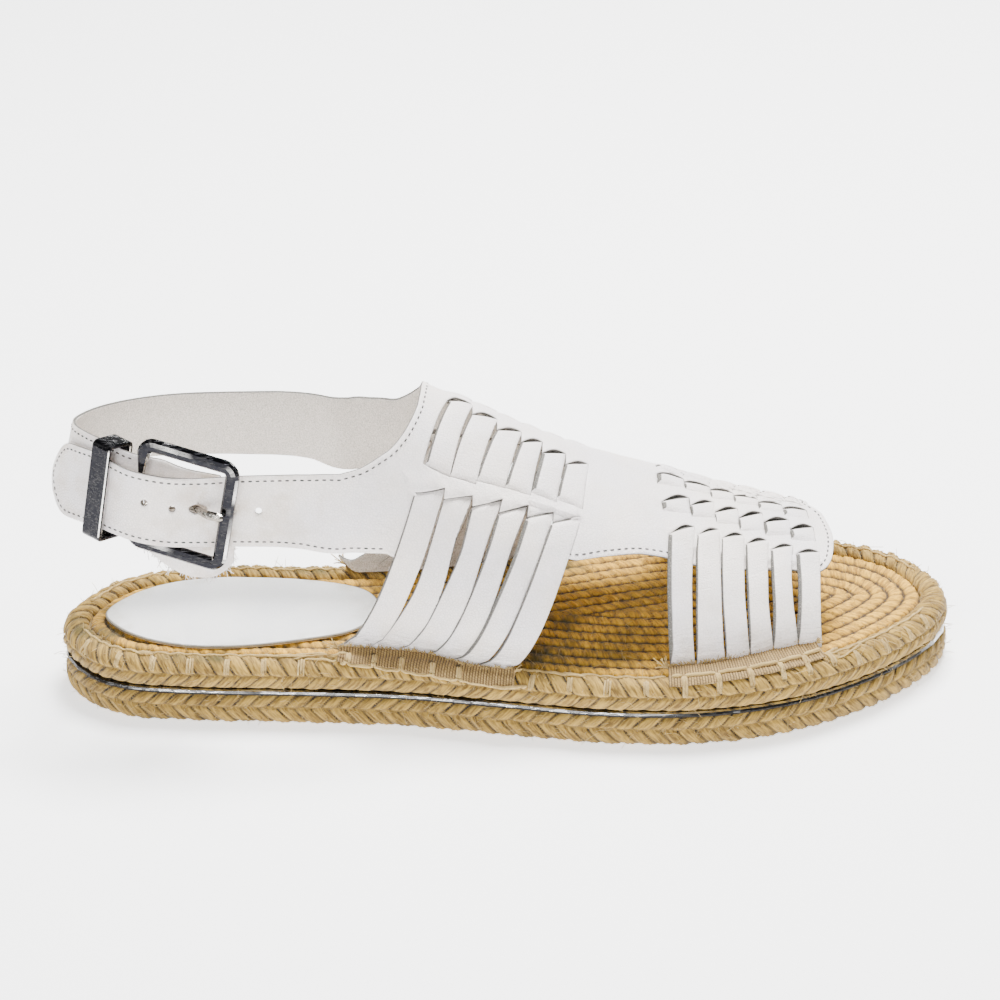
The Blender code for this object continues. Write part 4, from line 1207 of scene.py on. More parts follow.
def outer_boundary():
    """The outer half of the sheet's edge, from the collar to the front."""
    end = STRAP_ENDS[-1] + 0.2
    rows = [COLLAR_EDGE, [COLLAR_EDGE[-1], (-60.0, 29.8)], [(-60.0, 29.8), (end, 30.0)],
            [(end, 30.0), (end, 13.3)], [(end, 13.3), (STRAP_JOIN, 13.5)],
            [(STRAP_JOIN, 13.5), (-43.8, 14.7), (-38.5, 16.9), (-33.6, 19.1)]]
    left = [(float(rib_x(0, turn)) + UNDERLAP, turn)
            for turn in (19.5, 24, 28, 32, 36, 39.4)]
    right = [(float(rib_x(6, turn)) - UNDERLAP, turn)
             for turn in (54.0, 51.0, 48.0, 45.0, 41.4, 38.4)]
    rows += [[(-33.6, 19.1), left[0]], left, [left[-1], INSTEP_ZIGZAG[0][0]]]
    for slit, after in zip(INSTEP_ZIGZAG, INSTEP_ZIGZAG[1:] + [None]):
        rows.append(list(slit))
        if after:
            rows.append([slit[-1], after[0]])
    return rows + [[INSTEP_ZIGZAG[-1][-1], right[0]], right, [right[-1], TOE_EDGE[0]],
                   TOE_EDGE, FRONT_EDGE]


def sampled(rows, spacing):
    """Points along joined drawn lines, without repeating the corners."""
    made = []
    for row in rows:
        size = walked(np.array(row) * (1, TURN_SIZE))[-1]
        count = max(int(round(size / spacing)) + 1, 2)
        points = curve(row, count) if len(row) > 2 else np.linspace(*row, count)
        made.append(points[:-1])
    return np.vstack(made)


def row_window(moons, faints):
    """A whole row of strips as one window with a stepped edge."""
    rows = []
    for k, (a, b) in enumerate(faints):
        rows.append([a, b])
        if k < len(faints) - 1 and faints[k + 1][0] != b:
            rows.append([b, faints[k + 1][0]])
    rows.append([faints[-1][1], moons[-1][2]])
    for k in range(len(moons) - 1, -1, -1):
        rows.append(list(moons[k][::-1]))
        if k:
            rows.append([moons[k][0], moons[k - 1][2]])
    return rows + [[moons[0][0], faints[0][0]]]


HIDDEN_FAINT = [((m[0][0] + 0.5, m[0][1] - 5.0), (m[2][0] - 0.3, m[2][1] - 5.5))
                for m in TOE_MOONS[2]]
WINDOWS = [row_window(INSTEP_MOONS, INSTEP_FAINT)]
WINDOWS += [row_window(m, f) for m, f in zip(TOE_MOONS, TOE_FAINT)]
WINDOWS += [row_window([m], [f]) for m, f in zip(TOE_MOONS[2], HIDDEN_FAINT)]


def strap_hole(side, x, z, long, high, count=14):
    """A round or oval hole in a strap, as a closed line in the drawing."""
    far, spot, half = STRAP_PATHS[side]
    near = np.argmin(np.abs(spot[:, 0] - x) + 1000.0 * (spot[:, 1] > 0))
    scale = (STRAP_JOIN - STRAP_ENDS[-1]) / (STRAP_JOIN - STRAP_ENDS[side])
    per_mm = (STRAP_HIGH - STRAP_LOW) / 2 / half[near, 2]
    middle = (STRAP_LOW + STRAP_HIGH) / 2 + (z - spot[near, 2]) * per_mm
    turn = np.arange(count) * math.tau / count
    return np.column_stack([STRAP_JOIN - (far[near] - long * np.cos(turn)) * scale,
                            middle + high * per_mm * np.sin(turn)])


HOLE_RADIUS = 1.0
OUTER_HOLES = [strap_hole(-1, x, z, HOLE_RADIUS, HOLE_RADIUS) for x, z in (
    (-103.8, 75.4), (-95.8, 73.4), (-78.2, 71.6), (-70.2, 71.7))]
OUTER_HOLES.append(strap_hole(-1, -88.3, 72.9, 2.8, 1.5))      # round the prong
INNER_HOLES = [strap_hole(1, -106.8, 72.9, 3.5, 1.8)]           # round its eye
print("windows a side:", len(WINDOWS), "strap holes:", len(OUTER_HOLES))

# %% [markdown]
# ## How high each part of the vamp lies
# Where the sheet passes over strips it is lifted, where its edge hides under
# a strip it sinks, and above each half-moon its lip arches up.  These lifts
# are smooth bumps added up over the drawing.
# %% Lift of the vamp
def along_line(u, w, start, end):
    """Share along a drawn line, and distance to its upper side, in mm."""
    ax, ay = start[0], start[1] * TURN_SIZE
    bx, by = end[0], end[1] * TURN_SIZE
    size = math.hypot(bx - ax, by - ay)
    dx, dy = (bx - ax) / size, (by - ay) / size
    px, py = u - ax, w * TURN_SIZE - ay
    return (px * dx + py * dy) / size, py * dx - px * dy


def vamp_lift(u, w):
    """How far the vamp lies off the foot body, for the outer plan."""
    lift = 0.10 * wobble(u, 31, 33.0) * wobble(w, 32, 29.0)
    for rows, height, fade in ((INSTEP_MOONS, 0.62, 2.4), (TOE_MOONS[0], 0.50, 2.1),
                               (TOE_MOONS[1], 0.50, 2.2), (TOE_MOONS[2], 0.50, 2.4)):
        for left, _, right in rows:
            share, up = along_line(u, w, left, right)
            arch = np.sin(math.pi * np.clip(share, 0, 1)) ** 0.7
            inside = (share > -0.05) & (share < 1.05)
            ebb = np.exp(-(np.maximum(up - 0.5, 0) / fade) ** 2)
            lift = lift + inside * height * arch * ebb * smoothstep(-2.0, 0.0, up)
    for left, _, right in INSTEP_ZIGZAG:
        share, up = along_line(u, w, left, right)
        bar = np.exp(-((up - 1.6) / 2.6) ** 2) * (share > -0.08) * (share < 1.08)
        lift = lift + 0.8 * bar
    # one millimetre lower beneath the first strip, the last strip and the toe strips
    by_first = np.abs(u - rib_x(0, w) - 4.0)
    lift = lift - smoothstep(3.0, 0.5, by_first) * (w < 40.0) * (u > -48)
    lift = lift - smoothstep(0.4, -1.4, u - rib_x(6, w)) * (w < 54.5) * (u > 8)
    return lift - smoothstep(56.5, 51.5, w) * smoothstep(48.6, 50.6, u) * smoothstep(
        97.0, 94.6, u)


# %% Fill the drawing and lay it on the foot
SHEET_CELL = 0.85
LEATHER = 1.05


def inside_polygon(points, polygon):
    """Which points lie inside a closed drawn line."""
    x, y = points[:, 0], points[:, 1]
    inside = np.zeros(len(points), bool)
    for (ax, ay), (bx, by) in zip(polygon, np.roll(polygon, -1, 0)):
        crosses = (ay > y) != (by > y)
        if abs(by - ay) > 1e-12:
            inside ^= crosses & (x < (bx - ax) * (y - ay) / (by - ay) + ax)
    return inside


def on_leather(points, polygon, holes):
    """Which points lie inside the edge line and outside every opening."""
    kept = inside_polygon(points, polygon)
    for hole in holes:
        kept &= ~inside_polygon(points, hole)
    return kept


def fill_drawing(strap_holes):
    """Flat points and triangles of one half of the vamp and its strap."""
    border = sampled(outer_boundary(), SHEET_CELL)
    fold_x = np.arange(FRONT_EDGE[-1][0], COLLAR_EDGE[0][0], -SHEET_CELL)
    polygon = np.vstack([border, [(x, FOLD_TURN) for x in fold_x]])
    holes = [sampled(rows, SHEET_CELL * 0.8) for rows in WINDOWS] + strap_holes
    loops = [polygon] + holes
    U, W = np.meshgrid(np.arange(STRAP_ENDS[-1], 101.0, SHEET_CELL),
                       np.arange(13.0, FOLD_TURN, SHEET_CELL * 0.87 / TURN_SIZE),
                       indexing="ij")
    U = U + (np.arange(W.shape[1]) % 2)[None, :] * SHEET_CELL / 2
    fill = np.stack([U.ravel(), W.ravel()], 1)
    fill = fill[on_leather(fill, polygon, holes)]
    lines = np.vstack(loops) * (1, TURN_SIZE)
    fill = fill[nearest(fill * (1, TURN_SIZE), lines)[1] > SHEET_CELL * 0.55]
    points = np.vstack(loops + [fill])
    edges, at = [], 0
    for n in map(len, loops):
        edges += [(at + k, at + (k + 1) % n) for k in range(n)]
        at += n
    flat_points = [Vector((float(a), float(b) * TURN_SIZE)) for a, b in points]
    result = geometry.delaunay_2d_cdt(flat_points, edges, [], 1, 1e-5)
    found = np.array([tuple(v) for v in result[0]]) / (1, TURN_SIZE)
    faces = np.array([f for f in result[2] if len(f) == 3])
    faces = faces[on_leather(found[faces].mean(1), polygon, holes)]
    a, b, c = (found[faces[:, k]] for k in range(3))
    turn = (b[:, 0] - a[:, 0]) * (c[:, 1] - a[:, 1]) - (b[:, 1] - a[:, 1]) * (
        c[:, 0] - a[:, 0])
    faces[turn < 0] = faces[turn < 0][:, ::-1]
    used, faces = renumber(faces)
    return found[used], faces


outer_flat, outer_faces = fill_drawing(OUTER_HOLES)
inner_plan, inner_faces = fill_drawing(INNER_HOLES)
print("outer half:", len(outer_flat), "points", len(outer_faces), "triangles")

FRONT_SET_BACK = 6.0     # the inner half's front edge lies further back, mm


def to_inner(flat):
    """The inner side's drawing for points of the outer side's plan."""
    u, w = flat[:, 0].copy(), flat[:, 1]
    far = u < STRAP_JOIN
    reach = (STRAP_JOIN - u[far]) / (STRAP_JOIN - STRAP_ENDS[-1])
    u[far] = STRAP_JOIN - reach * (STRAP_JOIN - STRAP_ENDS[1])
    u -= FRONT_SET_BACK * smoothstep(87.0, 100.0, u) * smoothstep(20.0, 50.0, w) \
        * np.sin(math.pi / 2 * np.clip((FOLD_TURN - w) / 17.0, 0, 1))
    blend = smoothstep(-30.0, -44.0, flat[:, 0])
    turn = inner_turn(u, w) * (1 - blend) + (180 - w) * blend
    return np.stack([u, turn], 1)


def on_fold(flat):
    """The plan's points on the middle line, in order along it."""
    mine = np.nonzero(np.abs(flat[:, 1] - FOLD_TURN) < 1e-3)[0]
    return mine[np.argsort(flat[mine, 0])]


inner_flat = to_inner(inner_plan)
all_flat = np.vstack([outer_flat, inner_flat])
all_lift = np.concatenate([vamp_lift(*outer_flat.T), vamp_lift(*inner_plan.T)])
all_faces = np.vstack([outer_faces, inner_faces[:, ::-1] + len(outer_flat)])
twin = np.arange(len(all_flat))
twin[on_fold(inner_plan) + len(outer_flat)] = on_fold(outer_flat)
all_faces = twin[all_faces]
used, all_faces = renumber(all_faces)
all_flat, all_lift = all_flat[used], all_lift[used]
middle_out = outward(*all_flat.T)
middle_points = lay(*all_flat.T) + middle_out * all_lift[:, None]
is_strap = smoothstep(-44, -60, all_flat[:, 0])
soiled = 0.10 + 0.55 * np.exp(-((middle_points[:, 0] + 82) / 6.0) ** 2) * (
    middle_points[:, 1] < 0) + 0.25 * is_strap
creased = 0.35 * np.exp(-((all_flat[:, 0] + 36) / 8) ** 2) * (all_flat[:, 1] < 45)
sheet = thicken(middle_points, middle_out, all_faces, LEATHER, {
    "soiled": soiled, "creased": creased, "cut": np.zeros(len(all_flat)),
    "strand": middle_points})
vamp = piece("vamp_and_straps", sheet, WHITE_LEATHER)
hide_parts("upper")

# %% [markdown]
# ## The woven strips
# Each strip is one long ribbon of leather, described by stations from the sole
# upwards: its left and right edge in the flat drawing, its height, which is
# below zero under the vamp and above zero over it, and a share of grey.  Where
# a strip dives under the bar or into a half-moon, its face is painted flesh grey
# as painted shade, and with the vamp's cut lip above it this shows as a grey
# lens.  Lower down the strips part, and a table gives each gap from the bottom
# (0) to the top (1).
# %% Gaps between the strips
INSTEP_GAPS = [
    # (share of the free length, gap in mm) for each strip's edge
    [(0, 0.0), (0.3, 0.0), (0.7, 0.3), (1, 0.0)],
    [(0, 0.2), (0.12, 0.5), (0.32, 1.5), (0.55, 0.9), (0.8, 0.6), (1, 0.2)],
    [(0, 0.2), (0.3, 0.2), (0.45, 0.7), (0.62, 2.5), (0.76, 2.0), (0.9, 0.5), (1, 0.1)],
    [(0, 0.2), (0.4, 0.25), (0.55, 0.9), (0.75, 1.1), (0.9, 0.5), (1, 0.1)],
    [(0, 0.2), (0.35, 0.25), (0.55, 1.0), (0.7, 1.4), (0.86, 0.7), (1, 0.1)],
    [(0, 0.9), (0.15, 0.9), (0.3, 0.25), (0.5, 0.3), (0.7, 0.1), (0.86, -0.4), (1, -0.3)],
    [(0, 0.0), (0.5, 0.2), (1, 0.0)]]
TOE_GAPS = [
    [(0, 0.0), (0.5, 0.2), (1, 0.0)],
    [(0, 0.9), (0.25, 1.5), (0.5, 1.4), (0.72, 1.1), (0.86, 0.2), (1, 0.1)],
    [(0, 0.8), (0.15, 1.1), (0.35, 0.8), (0.65, 0.35), (0.85, 0.15), (1, 0.1)],
    [(0, 0.5), (0.25, 1.0), (0.6, 1.1), (0.82, 0.7), (0.92, 0.15), (1, 0.1)],
    [(0, 0.3), (0.15, 0.6), (0.4, 1.8), (0.7, 1.2), (0.9, 0.5), (1, 0.15)],
    [(0, 0.3), (0.2, 0.4), (0.45, 1.8), (0.72, 2.1), (0.92, 1.2), (1, 0.2)],
    [(0, 0.0), (0.5, 0.0), (1, 0.0)]]
STRIP_LEATHER = 1.0
FREE_STATIONS = 31
EDGE_LOSS = 0.55         # what the rounded edges take off a strip's face, mm


def gap_at(table, share):
    """A gap from its table, with the table's corners rounded."""
    rows = np.array(table, float)
    return np.mean([np.interp(share + d, rows[:, 0], rows[:, 1])
                    for d in (-0.09, -0.045, 0.0, 0.045, 0.09)])


def toward(a, b, share):
    """The point at a share of the way from a to b."""
    return tuple(p + (q - p) * share for p, q in zip(a, b))


def free_part(rib, top_left, top_right, gaps):
    """Stations from the sole to the first slit."""
    made = []
    for share in np.arange(FREE_STATIONS) / (FREE_STATIONS - 1):
        ends = []
        for edge, top, table, half in ((rib, top_left, gaps[0], 0.5),
                                       (rib + 1, top_right, gaps[1], -0.5)):
            turn = top[1] * share
            x = float(rib_x(edge, turn))
            x += (top[0] - float(rib_x(edge, top[1]))) * share ** 2
            x += half * (gap_at(table, share) - EDGE_LOSS)
            ends.append((x, turn))
        made.append((*ends, 0.25 + 0.25 * smoothstep(0, 0.3, share), 0.0))
    return made


def along_edge(edge, share):
    """A point at a share of a drawn edge of two or three corners."""
    drawn = [(p[0], p[1] * TURN_SIZE) for p in edge]
    sizes = [math.dist(a, b) for a, b in zip(drawn, drawn[1:])]
    first = sizes[0] / sum(sizes)
    if len(edge) == 2 or share <= first:
        return toward(edge[0], edge[1], share / first)
    return toward(edge[1], edge[2], (share - first) / (1 - first))


def over_and_under(left_edge, right_edge, dive):
    """Stations of a stretch over the vamp that ends in a half-moon."""
    low, high = left_edge[0], left_edge[-1]
    rise = math.hypot(high[0] - low[0], (high[1] - low[1]) * TURN_SIZE)
    course = [
        # mm from the lower edge, height, share painted flesh grey as shade
        (-1.8, -1.05, 0), (-0.3, -0.72, 0), (0.6, -0.1, 0), (1.6, 0.24, 0),
        (rise - 1.8, 0.32, 0), (rise - 0.7, 0.22, 0), (rise - 0.05, -0.15, 0),
        (rise + 0.35, -0.42, 1), (rise + dive * 0.6, -0.98, 1), (rise + dive, -1.4, 1),
        (rise + dive + 2.0, -1.45, 1)]
    return [(along_edge(left_edge, far / rise), along_edge(right_edge, far / rise),
             level, dry_flesh_and_shade) for far, level, dry_flesh_and_shade in course]


def instep_strip(k):
    """Stations of a strip that goes under the bar and into one half-moon."""
    left, _, right = INSTEP_ZIGZAG[k]
    rows = free_part(k, left, right, (INSTEP_GAPS[k], INSTEP_GAPS[k + 1]))
    a, b = rows[-2][:2]
    low, high = INSTEP_FAINT[k]
    # painted shadow: the stations just below the bar are painted flesh grey, a dark line
    # where the bar shades the strip
    rows = rows[:-2] + [
        (a, b, 0.15, 0.0), (toward(a, left, 0.7), toward(b, right, 0.7), -0.12, 0.1),
        (left, right, -0.6, 1.0),
        (toward(left, low, 0.5), toward(right, high, 0.5), -0.9, 0.5)]
    right_edge = [high, INSTEP_MOONS[k][2]]
    if k < 5:                     # its right edge runs along the next strip's left one
        right_edge.insert(1, INSTEP_MOONS[k + 1][0])
    over = over_and_under([low, INSTEP_MOONS[k][0]], right_edge, 2.2)
    if k == 0:                    # the first strip is a little narrower on its left
        over = [((a[0] + 0.9 * math.sin(math.pi * min(n / 8, 1)), a[1]), b, level, dry_flesh_and_shade)
                for n, (a, b, level, dry_flesh_and_shade) in enumerate(over)]
    return rows + over


def toe_strip(k):
    """Stations of a strip that goes through three rows of half-moons."""
    left, _, right = TOE_MOONS[2][k]
    run = free_part(7 + k, left, right, (TOE_GAPS[k], TOE_GAPS[k + 1]))
    last, before = run.pop(), run[-1]
    run += [(toward(before[0], last[0], 0.75), toward(before[1], last[1], 0.75), 0.32, 0.0),
            (last[0], last[1], -0.12, 0.0)]
    # painted shade: where the strip runs on under the vamp it is painted flesh grey
    for far, level in ((0.12, -0.45), (0.38, -1.1), (0.7, -1.3)):
        run.append((toward(left, TOE_FAINT[1][k][0], far),
                    toward(right, TOE_FAINT[1][k][1], far), level, 1.0))
    for r in (1, 0):
        low, high = TOE_FAINT[r][k]
        run += over_and_under([low, TOE_MOONS[r][k][0]], [high, TOE_MOONS[r][k][2]],
                              1.9 if r else 1.7)
    return run


# %% Ribbons from the stations
STRIP_STEP = 0.62
STRIP_ACROSS = 11
FOLD_PITCH = 1.45        # from one small fold to the next at a strip's foot, mm


def ribbon(stations, side, seed, tilt, slants):
    """A closed strip of leather laid over its stations."""
    left, right, level, dry_flesh_and_shade = map(np.array, zip(*stations))
    if side > 0:
        left, right = to_inner(left), to_inner(right)
    middle = lay(*((left + right) / 2).T)
    far = np.maximum.accumulate(walked(middle) + np.arange(len(middle)) * 1e-6)
    count = max(int(far[-1] / STRIP_STEP), 8)
    at = np.linspace(0, far[-1], count)
    left, right = read_at(at, far, left)[:, None], read_at(at, far, right)[:, None]
    level, dry_flesh_and_shade = np.interp(at, far, level), np.interp(at, far, dry_flesh_and_shade)
    kernel = np.array([1, 2, 3, 2, 1]) / 9
    level = np.convolve(np.pad(level, 2, mode="edge"), kernel, "valid")
    share = np.linspace(0, 1, STRIP_ACROSS)
    u, w = np.moveaxis(left * (1 - share[:, None]) + right * share[:, None], -1, 0)
    surface, out = lay(u, w), outward(u, w)
    free = smoothstep(0, 8, at) * smoothstep(0.0, 0.25, level + 0.1)
    bow = 0.30 * (1 - (2 * share - 1) ** 2)
    lean = tilt * (0.5 - share)[None, :] * free[:, None]
    wave = 0.22 * wobble(at, seed, 26.0) * smoothstep(3, 15, at)
    base = smoothstep(16.0, 4.0, at)
    fold = 0.09 * np.sin(at[:, None] * math.tau / FOLD_PITCH + 1.4 * np.sin(
        share[None, :] * 5 + seed)) * base[:, None] * (0.4 + 0.6 * chance(
            np.floor(at / FOLD_PITCH), seed)[:, None])
    lift = level[:, None] + bow[None, :] * smoothstep(-0.6, 0.2, level)[:, None] + lean \
        + wave[:, None] * free[:, None] + fold
    points, normals = (surface + out * lift[..., None]).reshape(-1, 3), out.reshape(-1, 3)
    faces = facing(points, grid_faces(count, STRIP_ACROSS), normals[0])
    across = surface[:, -1] - surface[:, 0]
    across_mm = share[None, :] * np.linalg.norm(across, axis=1)[:, None]
    strand = np.stack([across_mm, np.broadcast_to(at[:, None], across_mm.shape),
                       np.full(across_mm.shape, seed * 3.7)], -1).reshape(-1, 3)
    pull = free[:, None] * (slants[0] * (1 - share)[None, :] ** 3
                            - slants[1] * share[None, :] ** 3)
    slide = unit(across)[:, None, :] * pull[..., None]
    # the grey share paints the strip flesh grey where it dives under the vamp: painted shade
    values = {"cut": dry_flesh_and_shade, "creased": 0.15 + 0.85 * base, "soiled": 0.12 + 0.2 * base}
    values = {key: np.repeat(row, STRIP_ACROSS) for key, row in values.items()}
    return thicken(points, normals, faces, STRIP_LEATHER, values | {"strand": strand},
                   0.2, slide.reshape(-1, 3))


INSTEP_LOOKS = [
    # tilt of the free part in mm, slanted cut on the left and right edge
    (0.2, 0.45, 0.0), (-0.2, 0.3, 0.1), (0.3, 0.7, 0.0), (0.5, 0.9, 0.2),
    (0.8, 1.4, 0.0), (0.4, 0.8, 0.0)]
TOE_LOOKS = [(0.9, 1.6, 0.0), (0.2, 0.5, 0.0), (0.1, 0.3, 0.0), (0.2, 0.5, 0.0),
             (0.5, 0.9, 0.0), (0.7, 1.3, 0.0)]

for side, label in ((-1, "outer"), (1, "inner")):
    for band, make, looks, seed in (("instep", instep_strip, INSTEP_LOOKS, 40),
                                    ("toe", toe_strip, TOE_LOOKS, 50)):
        seed += 20 if side > 0 else 0
        parts = [ribbon(make(k), side, seed + k, tilt, slants)
                 for k, (tilt, *slants) in enumerate(looks)]
        strips = piece(f"{band}_strips_{label}", join(parts), WHITE_LEATHER)
        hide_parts("upper")


# %% [markdown]
# ## Short stitches along the leather's edges
# A dark thread is sewn just inside the collar, both straps and the vamp's own
# edges.  Each stitch is a small spindle.  The drawn edge line is moved inwards
# on the surface itself, so its distance is true although the drawing is
# stretched.
# %% Stitches on a drawn line
STITCH_PITCH, STITCH_LENGTH, STITCH_RADIUS, STITCH_INSET = 2.15, 1.2, 0.27, 1.65
SPINDLE_RINGS = [        # place along a stitch and size there, as shares
    (-0.5, 0.25), (-0.36, 0.85), (0.0, 1.0), (0.36, 0.85), (0.5, 0.25)]


def moved(flat, shift):
    """Drawing points after moving by 3-D shifts that lie in the surface."""
    step = 0.4
    a, b = (difference / (2 * step) for difference in shifts(*flat.T, step))
    aa, ab, bb = (a * a).sum(1), (a * b).sum(1), (b * b).sum(1)
    sa, sb = (a * shift).sum(1), (b * shift).sum(1)
    det = aa * bb - ab * ab
    return flat + np.column_stack([(sa * bb - sb * ab) / det, (sb * aa - sa * ab) / det])


def stitch_line(rows, side, trim):
    """Middle, run and outward direction of each stitch along drawn rows."""
    plan = sampled(rows, 0.5)
    flat = plan if side < 0 else to_inner(plan)
    spots = lay(*flat.T)
    run = unit(np.gradient(spots, axis=0))
    out = outward(*flat.T)
    inward = np.cross(out, run) * (1 if side < 0 else -1)
    flat = moved(flat, inward * STITCH_INSET)
    spots = lay(*flat.T) + outward(*flat.T) * (vamp_lift(*plan.T) + LEATHER / 2)[:, None]
    far = walked(spots)
    at = np.arange(STITCH_PITCH / 2 + trim[0], far[-1] - trim[1], STITCH_PITCH)
    run = unit(np.gradient(spots, axis=0))
    return (read_at(at, far, spots), unit(read_at(at, far, run)),
            unit(read_at(at, far, outward(*flat.T))))


def spindles(middle, run, out):
    """Small closed spindles, as points and triangles."""
    cross = np.cross(run, out)
    sides, rings = 6, []
    for share, size in SPINDLE_RINGS:
        for k in range(sides):
            turn = math.tau * k / sides
            rings.append(middle + run * share * STITCH_LENGTH
                         + cross * math.cos(turn) * size * STITCH_RADIUS
                         + out * (math.sin(turn) * size * STITCH_RADIUS * 0.8))
    one = tube_faces(len(SPINDLE_RINGS), sides)
    faces = (one[None] + (np.arange(len(middle)) * len(rings))[:, None, None])
    return np.stack(rings, 1).reshape(-1, 3), faces.reshape(-1, 3)


TAB_START, TAB_STOP = -106.5, -70.0     # the inner strap's end is cut, not sewn
boundary = outer_boundary()
arm = [boundary[-4][-1], *TOE_EDGE[:5]]
EDGE_LINES = [           # drawn lines, and what is left bare at their ends in mm
    (boundary[:3], (1.0, 0.0)), (boundary[4:6], (2.0, 1.0)), ([arm], (0.5, 0.5)),
    (boundary[-1:], (3.0, 0.0))]
stitches = [stitch_line(rows, side, trim) for rows, trim in EDGE_LINES for side in (-1, 1)]
middles, runs, outs = map(np.vstack, zip(*stitches))
has_stitch = ~((middles[:, 0] > TAB_START) & (middles[:, 0] < TAB_STOP)
               & (np.abs(middles[:, 1] + 22.5) < 3.6))
points, faces = spindles(middles[has_stitch], runs[has_stitch], outs[has_stitch])
piece("edge_stitches", (points, faces, {}), EDGE_THREAD)
print("stitches:", has_stitch.sum())

# %% [markdown]
# ## The woven tapes
# A band of woven tape is folded over the feet of each group of strips and
# sewn to the rim.  It starts against the strips, crosses the rim's top and
# ends part way down its outer face.  Its cross-section is worked out at every
# station and the weave is raised on it as small ribs.
# %% Tapes as woven sheets
TAPE_THICKNESS = 0.9
TAPE_CELL, TAPE_COLUMNS = ((0.28, 37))
RIB_CELLS, ROW_CELLS = 3, 2     # mesh cells along one rib and across one row
STRIP_FRONT = 1.3        # from the strips' middle line to the tape, mm
RIM_CURVE = np.array([   # inset and height, from the rim's top outwards
    (5.3, 21.4), (3.1, 21.2), (1.3, 20.2), (0.3, 18.2), (0.0, 16.0), (0.1, 14.2),
    (0.8, 12.6)])
TAPES = [
    # name, from x, to x, side, upper edge's height there and there, how far
    # over the rim it goes there and there, running thread above its lower edge
    ("outer_instep", -50.0, 3.0, -1, 23.9, 22.2, 3.0, 7.4, 0.1),
    ("outer_toe", 48.5, 97.0, -1, 22.6, 24.2, 4.4, 2.0, 2.6),
    ("inner_instep", -50.0, 3.0, 1, 23.6, 22.4, 3.6, 6.0, 0.1),
    ("inner_toe", 48.5, 97.0, 1, 22.8, 24.0, 4.2, 2.4, 2.4)]
rim_far = walked(RIM_CURVE)
whole_loop, whole_out = outline(4000)


def edge_at(x, side):
    """Outline points and outward directions at places x on one side."""
    mine = np.nonzero(whole_loop[:, 1] * side > 0)[0]
    mine = mine[np.argsort(whole_loop[mine, 0])]
    places = whole_loop[mine, 0]
    return read_at(x, places, whole_loop[mine]), unit(read_at(x, places, whole_out[mine]))


def rim_place(reach):
    """Inset, height and their outward direction at distances over the rim."""
    at, ahead, behind = (read_at(reach + step, rim_far, RIM_CURVE)
                         for step in (0, 0.5, -0.5))
    run = ahead - behind
    run = unit(run + (np.abs(run).sum(-1, keepdims=True) < 1e-6) * np.array([0, -1.0]))
    return at, np.stack([run[..., 1], -run[..., 0]], -1)


def tape_section(x, side, high, reach):
    """The tape's under side at one x: insets and heights from the strips out."""
    spot, away = edge_at(x, side)
    wall = foot(x, 0.0 if side < 0 else 180.0)[1]
    first = abs(spot[1] - wall) / abs(away[1]) - STRIP_FRONT
    rows = [(first, high), (min(first, 5.6) - 0.1, RIM_CURVE[0, 1] + 0.8)]
    begin = max(0.6, RIM_CURVE[0, 0] - rows[1][0] + 0.8)
    places, out = rim_place(np.linspace(begin, reach, 5))
    return np.vstack([rows, places + out * 0.45])


def tape_grid(row, edge_seed):
    """Middle surface, outward directions and sizes of one tape."""
    _, start, stop, side, high_a, high_b, over_a, over_b, _ = row
    count = int((stop - start) / TAPE_CELL)
    inset, level, place_x = [], [], np.linspace(start, stop, count)
    for x in place_x:
        share = (x - start) / (stop - start)
        uneven = 0.30 * wobble(x, edge_seed, 9.0)
        section = tape_section(x, side, high_a + (high_b - high_a) * share + 0.2 * uneven,
                               over_a + (over_b - over_a) * share + uneven * 0.5)
        smooth = resample(catmull(section, 6), TAPE_COLUMNS)
        run = unit(np.gradient(smooth, axis=0))
        lifted = smooth + np.stack([run[:, 1], -run[:, 0]], 1) * TAPE_THICKNESS / 2
        inset.append(lifted[:, 0])
        level.append(lifted[:, 1])
    inset, level = np.array(inset), np.array(level)
    spot, away = edge_at(place_x, side)
    points = off_outline(spot[:, None, :], away[:, None, :], inset, level)
    along = walked(points[:, TAPE_COLUMNS // 2])
    across = np.array([walked(line) for line in points])
    a, b = np.gradient(points, axis=0), np.gradient(points, axis=1)
    out = unit(np.cross(a, b))
    if out[count // 2, TAPE_COLUMNS // 2, 2] < 0:
        out = -out
    return points, out, np.broadcast_to(along[:, None], across.shape), across


